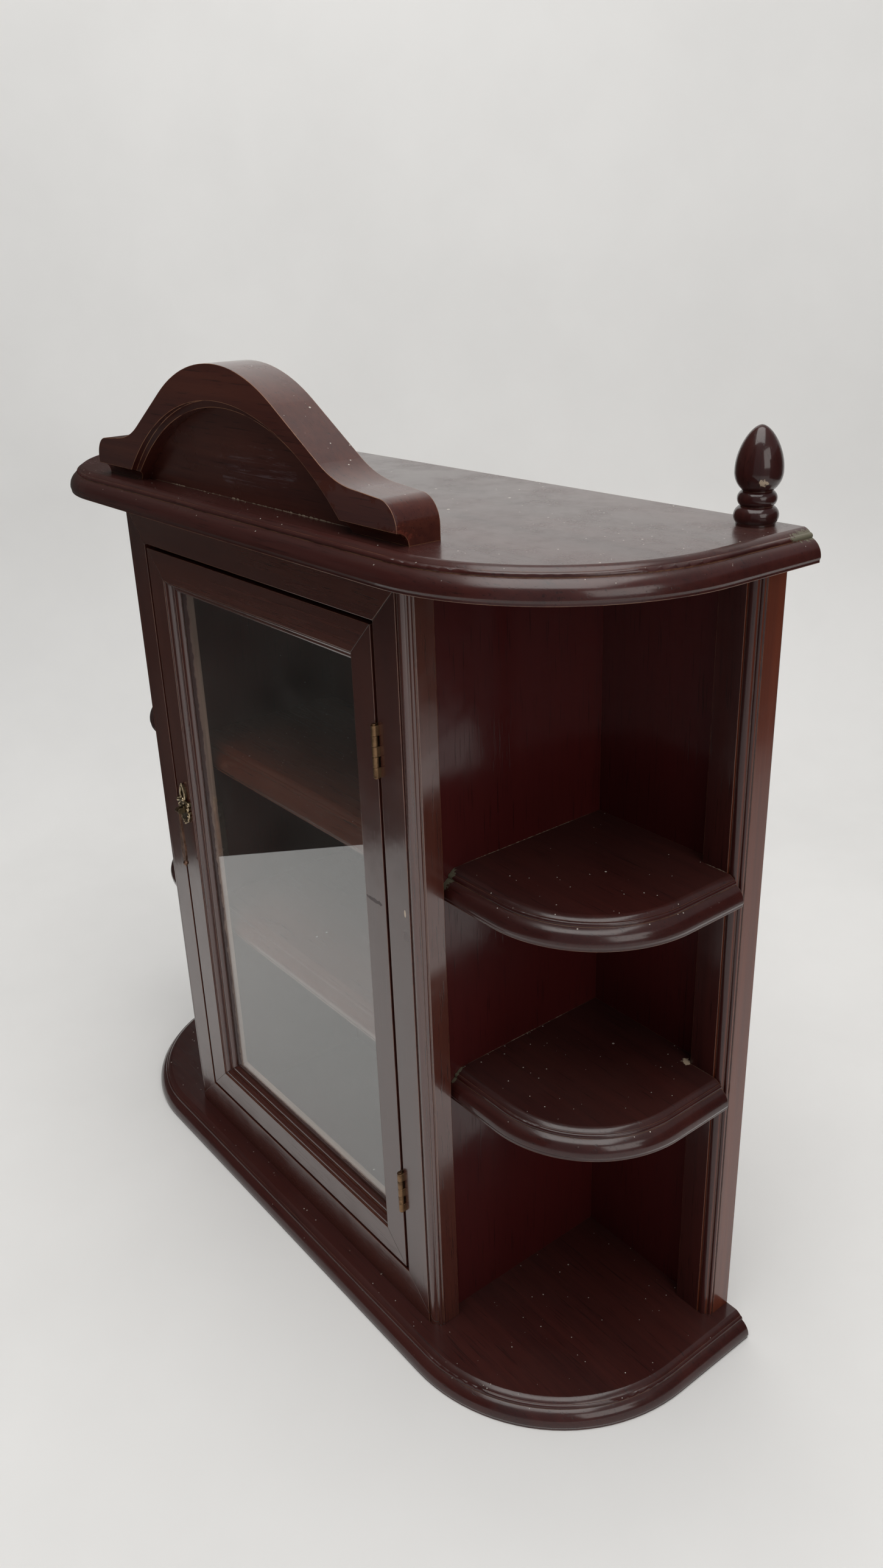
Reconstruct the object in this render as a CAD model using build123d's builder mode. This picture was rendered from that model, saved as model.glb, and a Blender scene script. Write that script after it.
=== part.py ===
from build123d import *
import os
from math import cos, radians, sin, sqrt

# Curio display case: a glazed central case with quarter-round open shelves at each
# side, between two D-shaped boards, with an arched pediment and turned finials.
# +X is to the right, -Y is the front, +Z is up. The origin is in the middle of the
# footprint, on the surface that the case stands on.

# ---- overall ----
overall_width = 562.0
overall_depth = 180.0
board_thickness = 16.0
case_height = 491.0
board_corner_radius = 116.0
rim_width = 11.0                       # width of the moulded edge, seen from above

half_width = overall_width / 2
front_y = -overall_depth / 2
back_y = overall_depth / 2
case_floor = board_thickness
case_ceiling = board_thickness + case_height
top_surface = case_ceiling + board_thickness

# ---- face frame ----
face_setback = 21.7                    # from the front of the boards to the face frame
frame_thickness = 18.3
frame_half_width = 157.5
opening_half_width = 129.8
opening_bottom = 43.5
opening_top = 480.0
reed_width = 7.8                       # reeded corner, along the front face
reed_depth = 6.3                       # reeded corner, along the side face

face_y = front_y + face_setback
frame_back_y = face_y + frame_thickness

# ---- case walls and posts ----
side_panel_outer = 150.4
side_panel_thickness = 12.0
back_panel_thickness = 9.0
back_panel_front_y = back_y - 12.9
post_inner = 237.5
post_outer = 262.5
post_depth = 20.5
panel_tongue = 6.0                     # how far the back panel enters each post

side_panel_inner = side_panel_outer - side_panel_thickness
back_panel_back_y = back_panel_front_y + back_panel_thickness
post_front_y = back_y - post_depth

# ---- shelves ----
shelf_thickness = 16.0
shelf_tops = {"lower": 201.0, "upper": 336.0}
shelf_front_y = back_y - 137.0
outer_shelf_reach = 267.0
outer_shelf_radius = 74.0

# ---- door ----
reveal = 2.7
door_thickness = 18.0
door_flat_width = 18.9                 # plain face of each door member
door_moulding_width = 7.5              # moulded inner edge of each door member
lip_thickness = 8.2                    # wood in front of the glass
rabbet_width = 6.0
glass_thickness = 2.0
glass_gap = 0.5

door_half_width = opening_half_width - reveal
door_bottom = opening_bottom + reveal
door_top = opening_top - reveal
door_member_width = door_flat_width + door_moulding_width
sight_half_width = door_half_width - door_member_width
sight_bottom = door_bottom + door_member_width
sight_top = door_top - door_member_width
door_back_y = face_y + door_thickness
glass_front_y = face_y + lip_thickness
glass_back_y = glass_front_y + glass_thickness

# ---- hinges ----
hinge_length = 30.0
hinge_centres = {"upper": 408.5, "lower": 110.0}
knuckles = 5
knuckle_radius = 1.85
knuckle_gap = 0.3
pin_radius = 0.9
pin_clearance = 0.05
leaf_thickness = 0.95
leaf_front_offset = 2.3                # from the pin to the front edge of each leaf
leaf_back_offset = 14.0                # from the pin to the back edge of each leaf
mortise_slack = 0.1
axis_x = (opening_half_width + door_half_width) / 2
axis_y = face_y - 1.75

# ---- drop pull ----
pull_x = -(door_half_width - door_flat_width / 2)
pull_pivot_z = 291.0
pull_plate_thickness = 1.6
pull_stud_radius = 1.5
pull_pivot_y = face_y - 5.4
pull_pin_radius = 0.7
drop_length = 45.0

# ---- pediment ----
arch_front_y = back_y - 166.0
arch_back_y = back_y - 140.0
arch_half_width = 165.0
arch_height = 75.5
crown_radii = {-1: 126.0, 1: 115.5}    # the left shoulder is sawn a little fuller
crown_slope = 31.8                     # steepest slope of the shoulder, degrees
shoulder_end_x = 102.0
swoop_radius = 62.0
foot_slope = 4.6
foot_corner_radius = 14.0
arch_cove = 7.0
arch_opening_radius = 165.0
arch_opening_height = 56.0
arch_step = 4.0                        # depth and width of the step round the opening
tympanum_front_y = back_y - 153.3
tympanum_thickness = 8.0

# ---- finials ----
finial_x = 250.0
finial_y = back_y - 11.5
finial_dowel_radius = 4.0
finial_dowel_length = 7.0

# ---- fastenings ----
fit = 0.04                             # clearance round dowels and screws in wood
base_screw_radius = 1.75
base_screw_head_radius = 3.6
base_screw_length = 38.0
dowel_radius = 3.0
dowel_half_length = 7.5
shelf_dowel_radius = 2.5
shelf_dowel_in_panel = 8.0
shelf_dowel_in_shelf = 12.0
small_screw_radius = 1.1
small_screw_head_radius = 2.1
small_screw_length = 9.0

os.makedirs("parts", exist_ok=True)


def save(builder, name):
    """Label a finished piece and write it as its own file."""
    builder.part.label = name
    export_step(builder.part, f"parts/{name}.step")


# ------------------------------------------------------------------ edge moulding

def draw_edge_section():
    """Closed section of the moulded edge: X = 0 at its outermost line, Y = 0 below.

    From the bottom: a small lip, a large ovolo, a quirk, a slim bead and a plain band
    that slopes up to the flat top of the board.
    """
    lip = 0.5
    lip_height = 1.3
    ovolo_start = (0, 2.6)
    ovolo_end = (-5.3, 11.1)
    bead_start = (-5.6, 11.8)
    bead_end = (-7.2, 13.8)
    band_start = (-7.6, 14.2)
    arris = (-10.8, board_thickness)
    Polyline((-rim_width, 0), (-lip, 0), (-lip, lip_height), ovolo_start)
    TangentArc(ovolo_start, ovolo_end, tangent=(0, 1))
    Polyline(ovolo_end, (-5.9, 11.4), bead_start)
    ThreePointArc(bead_start, (-5.9, 13.1), bead_end)
    Line(bead_end, band_start)
    ThreePointArc(band_start, (-9.1, 15.3), arris)
    Polyline(arris, (-rim_width, board_thickness), (-rim_width, 0))


def make_board_path(height):
    """Outer line of a D-shaped board, from its back left corner round to the right."""
    radius = board_corner_radius
    with BuildLine(Plane.XY.offset(height)) as path:
        Line((-half_width, back_y), (-half_width, front_y + radius))
        RadiusArc((-half_width, front_y + radius), (-half_width + radius, front_y), -radius)
        Line((-half_width + radius, front_y), (half_width - radius, front_y))
        RadiusArc((half_width - radius, front_y), (half_width, front_y + radius), -radius)
        Line((half_width, front_y + radius), (half_width, back_y))
    return path.line


def draw_board_core(inset):
    """Plan of a D-shaped board, drawn in by the given inset all round but the back."""
    side = half_width - inset
    front = front_y + inset
    radius = board_corner_radius - inset
    Polyline((-side, front + radius), (-side, back_y), (side, back_y), (side, front + radius))
    RadiusArc((side, front + radius), (side - radius, front), radius)
    Line((side - radius, front), (-side + radius, front))
    RadiusArc((-side + radius, front), (-side, front + radius), radius)


def make_board(height):
    """A D-shaped board with its moulded edge, its underside at the given height."""
    section_plane = Plane(origin=(-half_width, back_y, height), x_dir=(-1, 0, 0), z_dir=(0, 1, 0))
    with BuildPart() as board:
        with BuildSketch(Plane.XY.offset(height)):
            with BuildLine():
                draw_board_core(rim_width)
            make_face()
        extrude(amount=board_thickness)
        with BuildSketch(section_plane):
            with BuildLine():
                draw_edge_section()
            make_face()
        sweep(path=make_board_path(height))
    return board.part


# ---------------------------------------------------------------- reeded sections

def draw_reeded_corner(corner_x, corner_y):
    """Two reeds and their quirks round the front outer corner of a stile or post."""
    x0 = corner_x
    y0 = corner_y
    Line((x0 - reed_width, y0), (x0 - reed_width, y0 + 1.6))
    ThreePointArc((x0 - reed_width, y0 + 1.6), (x0 - 4.6, y0 + 0.5), (x0 - 2.6, y0 + 2.9))
    Line((x0 - 2.6, y0 + 2.9), (x0 - 2.2, y0 + 3.5))
    ThreePointArc((x0 - 2.2, y0 + 3.5), (x0 - 0.3, y0 + 3.9), (x0 - 0.9, y0 + 5.7))
    Line((x0 - 0.9, y0 + 5.7), (x0, y0 + reed_depth))


def draw_stile_section():
    """Plan of the right stile of the face frame."""
    draw_reeded_corner(frame_half_width, face_y)
    Polyline((frame_half_width, face_y + reed_depth), (frame_half_width, frame_back_y),
             (opening_half_width, frame_back_y), (opening_half_width, face_y),
             (frame_half_width - reed_width, face_y))


# --------------------------------------------------------------------- fastenings

def wall_foot_points():
    """Where the case members stand on the base board, as plan positions."""
    post_x = (post_inner + post_outer) / 2
    panel_x = (side_panel_inner + side_panel_outer) / 2
    stile_x = (opening_half_width + frame_half_width - reed_width) / 2
    points = []
    for side in (-1, 1):
        points.append((side * post_x, back_y - 8.0))
        points.append((side * panel_x, back_y - 40.0))
        points.append((side * panel_x, back_y - 110.0))
        points.append((side * stile_x, frame_back_y - 6.0))
    return points


shelf_dowel_ys = (back_y - 40.0, back_y - 105.0)
pediment_dowel_x = 145.0
pediment_dowel_y = (arch_front_y + arch_back_y) / 2 + 3.0
pediment_dowel_half_length = 7.0


def shelf_middle(level):
    return shelf_tops[level] - shelf_thickness / 2


def bore_shelf_dowel_holes(depth, levels):
    """Holes for the shelf dowels at the given levels, bored where shelf and panel meet."""
    for level in levels:
        with Locations(*[Pos(side_panel_outer, y, shelf_middle(level)) * Rot(0, 90, 0)
                         for y in shelf_dowel_ys]):
            Hole(shelf_dowel_radius + fit, depth=depth)


# ------------------------------------------------------------------ base and top

with BuildPart() as base_board:
    add(make_board(0))
    with Locations(*[Pos(x, y, 0) * Rot(180, 0, 0) for x, y in wall_foot_points()]):
        CounterSinkHole(base_screw_radius + fit, base_screw_head_radius + fit,
                        depth=board_thickness, counter_sink_angle=90)
save(base_board, "base_board")

with BuildPart() as top_board:
    add(make_board(case_ceiling))
    with Locations(*[(x, y, case_ceiling) for x, y in wall_foot_points()]):
        Hole(dowel_radius + fit, depth=dowel_half_length)
    with Locations((-finial_x, finial_y, top_surface), (finial_x, finial_y, top_surface)):
        Hole(finial_dowel_radius + fit, depth=finial_dowel_length + 0.5)
    with Locations((-pediment_dowel_x, pediment_dowel_y, top_surface),
                   (pediment_dowel_x, pediment_dowel_y, top_surface)):
        Hole(dowel_radius + fit, depth=pediment_dowel_half_length)
save(top_board, "top_board")

with BuildPart() as base_screws:
    with Locations(*[Pos(x, y, base_screw_length / 2) for x, y in wall_foot_points()]):
        Cylinder(base_screw_radius, base_screw_length)
    head_height = base_screw_head_radius - base_screw_radius
    with Locations(*[Pos(x, y, head_height / 2) for x, y in wall_foot_points()]):
        Cone(base_screw_head_radius, base_screw_radius, head_height)
save(base_screws, "base_screws")

with BuildPart() as top_dowels:
    with Locations(*[(x, y, case_ceiling) for x, y in wall_foot_points()]):
        Cylinder(dowel_radius, 2 * dowel_half_length - 1.0)
save(top_dowels, "top_dowels")


def bore_ends(points):
    """Pilot holes for the base screws and holes for the top dowels in one member."""
    pilot_depth = base_screw_length - board_thickness + 0.5
    with Locations(*[(x, y, case_floor) for x, y in points]):
        Hole(base_screw_radius + fit, depth=pilot_depth)
    with Locations(*[(x, y, case_ceiling) for x, y in points]):
        Hole(dowel_radius + fit, depth=dowel_half_length)


# ----------------------------------------------------------- posts, walls, frame

right_points = [point for point in wall_foot_points() if point[0] > 0]
keyhole_z = 470.0
keyhole_x = (post_inner + post_outer) / 2
keyhole_entry_radius = 4.5
keyhole_slot_radius = 2.25
keyhole_slot_rise = 9.0
hanger_width = 16.0
hanger_height = 44.0
hanger_thickness = 1.5
hanger_screw_points = ((0, -16.0), (0, 17.5))
screw_head_room = 11.0                 # hollow behind the keyhole for the wall screw's head
screw_head_room_depth = 5.0


def draw_keyhole():
    """A keyhole: a round entry with a narrower slot rising from it."""
    Circle(keyhole_entry_radius)
    with Locations((0, keyhole_slot_rise / 2)):
        Rectangle(2 * keyhole_slot_radius, keyhole_slot_rise)
    with Locations((0, keyhole_slot_rise)):
        Circle(keyhole_slot_radius)


with BuildPart() as right_back_post:
    with BuildSketch(Plane.XY.offset(case_floor)):
        with BuildLine():
            draw_reeded_corner(post_outer, post_front_y)
            Polyline((post_outer, post_front_y + reed_depth), (post_outer, back_y),
                     (post_inner, back_y), (post_inner, back_panel_back_y),
                     (post_inner + panel_tongue, back_panel_back_y),
                     (post_inner + panel_tongue, back_panel_front_y),
                     (post_inner, back_panel_front_y), (post_inner, post_front_y),
                     (post_outer - reed_width, post_front_y))
        make_face()
    extrude(amount=case_height)
    bore_ends(right_points[0:1])
    hanger_plane = Plane(origin=(keyhole_x, back_y, keyhole_z), x_dir=(-1, 0, 0), z_dir=(0, 1, 0))
    with BuildSketch(hanger_plane):
        SlotOverall(hanger_height, hanger_width, rotation=90)
    extrude(amount=-hanger_thickness, mode=Mode.SUBTRACT)
    with BuildSketch(hanger_plane.offset(-hanger_thickness)):
        with Locations((0, keyhole_slot_rise / 2)):
            SlotOverall(keyhole_slot_rise + screw_head_room + 1.0, screw_head_room, rotation=90)
    extrude(amount=-screw_head_room_depth, mode=Mode.SUBTRACT)
    with BuildSketch(hanger_plane):
        with Locations(*hanger_screw_points):
            Circle(small_screw_radius + fit)
    extrude(amount=-(small_screw_length + 0.5), mode=Mode.SUBTRACT)
save(right_back_post, "right_back_post")

with BuildPart() as left_back_post:
    mirror(right_back_post.part, about=Plane.YZ)
save(left_back_post, "left_back_post")

with BuildPart() as keyhole_hangers:
    for side in (-1, 1):
        plate_plane = Plane(origin=(side * keyhole_x, back_y, keyhole_z),
                            x_dir=(-1, 0, 0), z_dir=(0, 1, 0))
        with BuildSketch(plate_plane):
            SlotOverall(hanger_height - 0.1, hanger_width - 0.1, rotation=90)
            with Locations(*hanger_screw_points):
                Circle(small_screw_head_radius + fit, mode=Mode.SUBTRACT)
        extrude(amount=-hanger_thickness + 0.05)
        with BuildSketch(plate_plane):
            draw_keyhole()
        extrude(amount=-hanger_thickness, mode=Mode.SUBTRACT)
save(keyhole_hangers, "keyhole_hangers")

with BuildPart() as hanger_screws:
    for side in (-1, 1):
        for _, rise in hanger_screw_points:
            screw_plane = Plane(origin=(side * keyhole_x, back_y, keyhole_z + rise), z_dir=(0, 1, 0))
            with BuildSketch(screw_plane):
                Circle(small_screw_radius)
            extrude(amount=-small_screw_length)
            with BuildSketch(screw_plane):
                Circle(small_screw_head_radius)
            extrude(amount=-hanger_thickness)
save(hanger_screws, "hanger_screws")

with BuildPart() as back_panel:
    panel_half_width = post_inner + panel_tongue - 0.5
    with BuildSketch(Plane.XY.offset(case_floor)):
        with Locations((0, (back_panel_front_y + back_panel_back_y) / 2)):
            Rectangle(2 * panel_half_width, back_panel_thickness)
    extrude(amount=case_height)
save(back_panel, "back_panel")

with BuildPart() as right_side_panel:
    with BuildSketch(Plane.XY.offset(case_floor)):
        with Locations(((side_panel_inner + side_panel_outer) / 2,
                        (back_panel_front_y + frame_back_y) / 2)):
            Rectangle(side_panel_thickness, back_panel_front_y - frame_back_y)
    extrude(amount=case_height)
    bore_ends(right_points[1:3])
    bore_shelf_dowel_holes(shelf_dowel_in_panel, shelf_tops)
save(right_side_panel, "right_side_panel")

catch_z = 261.0
catch_height = 42.0
catch_width = 15.0
catch_front_y = door_back_y + 1.3
catch_depth = 15.0
catch_screw_rise = 14.0
catch_screw_bite = 5.5                 # length of each catch screw inside the side panel
catch_screw_y = catch_front_y + catch_depth / 2 + 1.5

with BuildPart() as left_side_panel:
    mirror(right_side_panel.part, about=Plane.YZ)
    for rise in (-catch_screw_rise, catch_screw_rise):
        with BuildSketch(Plane(origin=(-side_panel_inner, catch_screw_y, catch_z + rise),
                               z_dir=(-1, 0, 0))):
            Circle(small_screw_radius + fit)
        extrude(amount=catch_screw_bite + 0.5, mode=Mode.SUBTRACT)
save(left_side_panel, "left_side_panel")


def draw_frame_member(which):
    """Front view of one mitred member of the face frame, as a trapezium."""
    inner_low = opening_bottom
    inner_high = opening_top
    corners = {
        "left": ((-frame_half_width, case_floor), (-opening_half_width, inner_low),
                 (-opening_half_width, inner_high), (-frame_half_width, case_ceiling)),
        "right": ((frame_half_width, case_floor), (frame_half_width, case_ceiling),
                  (opening_half_width, inner_high), (opening_half_width, inner_low)),
        "bottom": ((-frame_half_width, case_floor), (frame_half_width, case_floor),
                   (opening_half_width, inner_low), (-opening_half_width, inner_low)),
        "top": ((-frame_half_width, case_ceiling), (-opening_half_width, inner_high),
                (opening_half_width, inner_high), (frame_half_width, case_ceiling)),
    }
    Polygon(*corners[which], align=None)


front_plane = Plane(origin=(0, face_y, 0), x_dir=(1, 0, 0), z_dir=(0, -1, 0))

with BuildPart() as right_stile_blank:
    with BuildSketch(Plane.XY.offset(case_floor)):
        with BuildLine():
            draw_stile_section()
        make_face()
    extrude(amount=case_height)
    bore_ends(right_points[3:4])

with BuildPart() as frame_blank:
    add(right_stile_blank.part)
    mirror(right_stile_blank.part, about=Plane.YZ)
    with BuildSketch(Plane.XY.offset(case_floor)):
        with Locations((0, (face_y + frame_back_y) / 2)):
            Rectangle(2 * opening_half_width, frame_thickness)
    extrude(amount=case_height)

hinge_screw_rise = 9.0
hinge_screw_y = axis_y + 8.6


def cut_hinge_seats(side):
    """Mortises and pilot holes for both hinges; side is 1 on the frame, -1 on the door."""
    wood_x = axis_x + side * (axis_x - door_half_width)
    leaf_x = axis_x + side * (knuckle_radius + mortise_slack / 2)
    for centre in hinge_centres.values():
        with Locations(((wood_x + leaf_x) / 2, axis_y + leaf_back_offset / 2, centre)):
            Box(abs(leaf_x - wood_x), leaf_back_offset + 2 * mortise_slack,
                hinge_length + 2 * mortise_slack, mode=Mode.SUBTRACT)
        for rise in (-hinge_screw_rise, hinge_screw_rise):
            with Locations(Pos(leaf_x, hinge_screw_y, centre + rise) * Rot(0, 90, 0)):
                Hole(small_screw_radius + fit, depth=small_screw_length)


frame_members = {}
for which in ("left", "right", "bottom", "top"):
    with BuildPart() as frame_member:
        add(frame_blank.part)
        with BuildSketch(front_plane):
            draw_frame_member(which)
        extrude(amount=-frame_thickness, mode=Mode.INTERSECT)
        if which == "right":
            cut_hinge_seats(1)
    kind = "rail" if which in ("bottom", "top") else "stile"
    frame_members[which] = frame_member
    save(frame_member, f"frame_{which}_{kind}")


# ------------------------------------------------------------------------ shelves

def draw_outer_shelf_core():
    """Plan of the right outer shelf inside its moulded edge, notched round the post."""
    side = outer_shelf_reach - rim_width
    front = shelf_front_y + rim_width
    radius = outer_shelf_radius - rim_width
    Polyline((side, front + radius), (side, post_front_y), (post_inner, post_front_y),
             (post_inner, back_panel_front_y), (side_panel_outer, back_panel_front_y),
             (side_panel_outer, front), (side - radius, front))
    RadiusArc((side - radius, front), (side, front + radius), -radius)


def make_outer_shelf_path(height):
    """Outer line of the right outer shelf, from the case round to the post."""
    side = outer_shelf_reach
    front = shelf_front_y
    radius = outer_shelf_radius
    with BuildLine(Plane.XY.offset(height)) as path:
        Line((side_panel_outer, front), (side - radius, front))
        RadiusArc((side - radius, front), (side, front + radius), -radius)
        Line((side, front + radius), (side, post_front_y))
    return path.line


def make_outer_shelf(level):
    """The right outer shelf of the given level, with its moulded quarter-round edge."""
    bottom = shelf_tops[level] - shelf_thickness
    section_plane = Plane(origin=(side_panel_outer, shelf_front_y, bottom), x_dir=(0, -1, 0),
                          z_dir=(-1, 0, 0))
    with BuildPart() as shelf:
        with BuildSketch(Plane.XY.offset(bottom)):
            with BuildLine():
                draw_outer_shelf_core()
            make_face()
        extrude(amount=shelf_thickness)
        with BuildSketch(section_plane):
            with BuildLine():
                draw_edge_section()
            make_face()
        sweep(path=make_outer_shelf_path(bottom))
        bore_shelf_dowel_holes(shelf_dowel_in_shelf, (level,))
    return shelf.part


for level in shelf_tops:
    with BuildPart() as right_shelf:
        add(make_outer_shelf(level))
    save(right_shelf, f"right_shelf_{level}")
    with BuildPart() as left_shelf:
        mirror(right_shelf.part, about=Plane.YZ)
    save(left_shelf, f"left_shelf_{level}")

with BuildPart() as shelf_dowels:
    dowel_length = shelf_dowel_in_panel + shelf_dowel_in_shelf - 1.0
    dowel_start = side_panel_outer - shelf_dowel_in_panel + 0.5
    for level in shelf_tops:
        for y in shelf_dowel_ys:
            for side in (-1, 1):
                start = (side * dowel_start, y, shelf_middle(level))
                with BuildSketch(Plane(origin=start, z_dir=(side, 0, 0))):
                    Circle(shelf_dowel_radius)
                extrude(amount=dowel_length)
save(shelf_dowels, "shelf_dowels")

for level in shelf_tops:
    bottom = shelf_tops[level] - shelf_thickness
    with BuildPart() as inner_shelf:
        section_plane = Plane(origin=(-side_panel_inner, shelf_front_y, bottom), x_dir=(0, -1, 0),
                              z_dir=(-1, 0, 0))
        with BuildSketch(section_plane):
            with BuildLine():
                draw_edge_section()
            make_face()
            shelf_depth = back_panel_front_y - shelf_front_y
            with Locations((-(rim_width + shelf_depth) / 2, shelf_thickness / 2)):
                Rectangle(shelf_depth - rim_width, shelf_thickness)
        extrude(amount=-2 * side_panel_inner)
    save(inner_shelf, f"inner_shelf_{level}")


# ----------------------------------------------------------------------- pediment

def draw_arch_outline():
    """Front outline of the pediment, standing on the line Y = 0."""
    steep = radians(crown_slope)
    gentle = radians(foot_slope)
    corner_x = arch_half_width - foot_corner_radius
    corner_sag = foot_corner_radius * (1 - cos(radians(45)))
    for side, crown_radius in crown_radii.items():
        crown_x = crown_radius * sin(steep)
        crown_z = arch_height - crown_radius * (1 - cos(steep))
        shoulder_z = crown_z - (shoulder_end_x - crown_x) * sin(steep) / cos(steep)
        swoop_x = shoulder_end_x + swoop_radius * (sin(steep) - sin(gentle))
        swoop_z = shoulder_z - swoop_radius * (cos(gentle) - cos(steep))
        corner_top = swoop_z - (corner_x - swoop_x) * sin(gentle)
        corner_bottom = corner_top - foot_corner_radius
        crown_middle = (side * crown_radius * sin(steep / 2),
                        arch_height - crown_radius * (1 - cos(steep / 2)))
        ThreePointArc((0, arch_height), crown_middle, (side * crown_x, crown_z))
        Line((side * crown_x, crown_z), (side * shoulder_end_x, shoulder_z))
        RadiusArc((side * shoulder_end_x, shoulder_z), (side * swoop_x, swoop_z), -side * swoop_radius)
        Line((side * swoop_x, swoop_z), (side * corner_x, corner_top))
        ThreePointArc((side * corner_x, corner_top),
                      (side * (arch_half_width - corner_sag), corner_top - corner_sag),
                      (side * arch_half_width, corner_bottom))
        Line((side * arch_half_width, corner_bottom), (side * arch_half_width, 0))
    Line((-arch_half_width, 0), (arch_half_width, 0))


pediment_plane = Plane(origin=(0, arch_front_y, top_surface), x_dir=(1, 0, 0), z_dir=(0, -1, 0))
opening_centre = arch_opening_height - arch_opening_radius
arch_thickness = arch_back_y - arch_front_y

with BuildPart() as pediment_arch:
    with BuildSketch(pediment_plane):
        with BuildLine():
            draw_arch_outline()
        make_face()
        with Locations((0, opening_centre)):
            Circle(arch_opening_radius - arch_step, mode=Mode.SUBTRACT)
    extrude(amount=-arch_thickness)
    with BuildSketch(pediment_plane):
        with Locations((0, opening_centre)):
            Circle(arch_opening_radius)
    extrude(amount=-arch_step, mode=Mode.SUBTRACT)
    with BuildSketch(Plane(origin=(-arch_half_width, arch_front_y, top_surface), z_dir=(1, 0, 0),
                           x_dir=(0, 1, 0))):
        Circle(arch_cove)
    extrude(amount=2 * arch_half_width, mode=Mode.SUBTRACT)
    with Locations((-pediment_dowel_x, pediment_dowel_y, top_surface),
                   (pediment_dowel_x, pediment_dowel_y, top_surface)):
        Hole(dowel_radius + fit, depth=pediment_dowel_half_length)
save(pediment_arch, "pediment_arch")

with BuildPart() as pediment_panel:
    panel_radius = arch_opening_radius - arch_step - 0.05
    foot_half_width = sqrt(panel_radius**2 - opening_centre**2)
    with BuildSketch(Plane(origin=(0, tympanum_front_y, top_surface), x_dir=(1, 0, 0),
                           z_dir=(0, -1, 0))):
        with BuildLine():
            Line((-foot_half_width, 0), (foot_half_width, 0))
            ThreePointArc((foot_half_width, 0), (0, opening_centre + panel_radius),
                          (-foot_half_width, 0))
        make_face()
    extrude(amount=-tympanum_thickness)
save(pediment_panel, "pediment_panel")

with BuildPart() as pediment_dowels:
    with Locations((-pediment_dowel_x, pediment_dowel_y, top_surface),
                   (pediment_dowel_x, pediment_dowel_y, top_surface)):
        Cylinder(dowel_radius, 2 * pediment_dowel_half_length - 1.0)
save(pediment_dowels, "pediment_dowels")

# ------------------------------------------------------------------------ finials

finial_foot_radius = 9.6
finial_foot_height = 1.2
foot_ring = (10.9, 5.2)
neck = (7.9, 9.3)
neck_ring = (9.6, 13.0)
waist = (7.3, 16.6)
egg_flank = (10.7, 21.0)
egg_widest = (11.65, 26.1)
egg_shoulder_pull = (11.65, 36.5)      # control points of the egg's upper curve
egg_tip_pull = (4.8, 47.0)
finial_height = 47.2

for side, name in ((-1, "left_finial"), (1, "right_finial")):
    with BuildPart() as finial:
        with BuildSketch(Plane(origin=(side * finial_x, finial_y, top_surface), x_dir=(1, 0, 0),
                               z_dir=(0, -1, 0))):
            with BuildLine():
                Polyline((0, finial_height), (0, -finial_dowel_length),
                         (finial_dowel_radius, -finial_dowel_length),
                         (finial_dowel_radius, 0), (finial_foot_radius, 0),
                         (finial_foot_radius, finial_foot_height))
                ThreePointArc((finial_foot_radius, finial_foot_height), foot_ring, neck)
                ThreePointArc(neck, neck_ring, waist)
                ThreePointArc(waist, egg_flank, egg_widest)
                Bezier(egg_widest, egg_shoulder_pull, egg_tip_pull, (0, finial_height))
            make_face()
        revolve(axis=Axis((side * finial_x, finial_y, 0), (0, 0, 1)))
    save(finial, name)


# --------------------------------------------------------------------------- door

def draw_door_section():
    """Section of a door member: X from its outer edge to the glass, Y from the front."""
    flat = door_flat_width
    sight = door_member_width
    rabbet = sight - rabbet_width
    Polyline((0, door_thickness), (0, 0), (flat, 0), (flat, 1.2))
    ThreePointArc((flat, 1.2), (flat + 2.5, 2.1), (flat + 3.4, 4.4))
    Line((flat + 3.4, 4.4), (flat + 3.4, 5.4))
    ThreePointArc((flat + 3.4, 5.4), (flat + 6.2, 5.6), (sight, 7.4))
    Polyline((sight, 7.4), (sight, lip_thickness), (rabbet, lip_thickness),
             (rabbet, door_thickness), (0, door_thickness))


def door_trapezium(which, outer_x, low, high, inset):
    """Corners, in front view, of one mitred side of a ring of the given width."""
    inner_x = outer_x - inset
    corners = {
        "left": ((-outer_x, low), (-inner_x, low + inset), (-inner_x, high - inset), (-outer_x, high)),
        "right": ((outer_x, low), (outer_x, high), (inner_x, high - inset), (inner_x, low + inset)),
        "bottom": ((-outer_x, low), (outer_x, low), (inner_x, low + inset), (-inner_x, low + inset)),
        "top": ((-outer_x, high), (-inner_x, high - inset), (inner_x, high - inset), (outer_x, high)),
    }
    return corners[which]


door_section_planes = {
    "left": Plane(origin=(-door_half_width, face_y, 0), x_dir=(1, 0, 0), z_dir=(0, 0, 1)),
    "right": Plane(origin=(door_half_width, face_y, 0), x_dir=(-1, 0, 0), z_dir=(0, 0, -1)),
    "bottom": Plane(origin=(0, face_y, door_bottom), x_dir=(0, 0, 1), z_dir=(-1, 0, 0)),
    "top": Plane(origin=(0, face_y, door_top), x_dir=(0, 0, -1), z_dir=(1, 0, 0)),
}
door_mid_z = (door_bottom + door_top) / 2
strike_width = 12.0
strike_height = 30.0
strike_thickness = 1.0
strike_screw_rise = 10.0
strike_plane = Plane(origin=(pull_x, door_back_y, catch_z), x_dir=(1, 0, 0), z_dir=(0, 1, 0))
pull_plane = Plane(origin=(pull_x, face_y, pull_pivot_z), x_dir=(1, 0, 0), z_dir=(0, -1, 0))
plate_pin_points = ((0, 17.6), (0, -8.2))
plate_pin_radius = 0.6
plate_pin_length = 7.0

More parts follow.
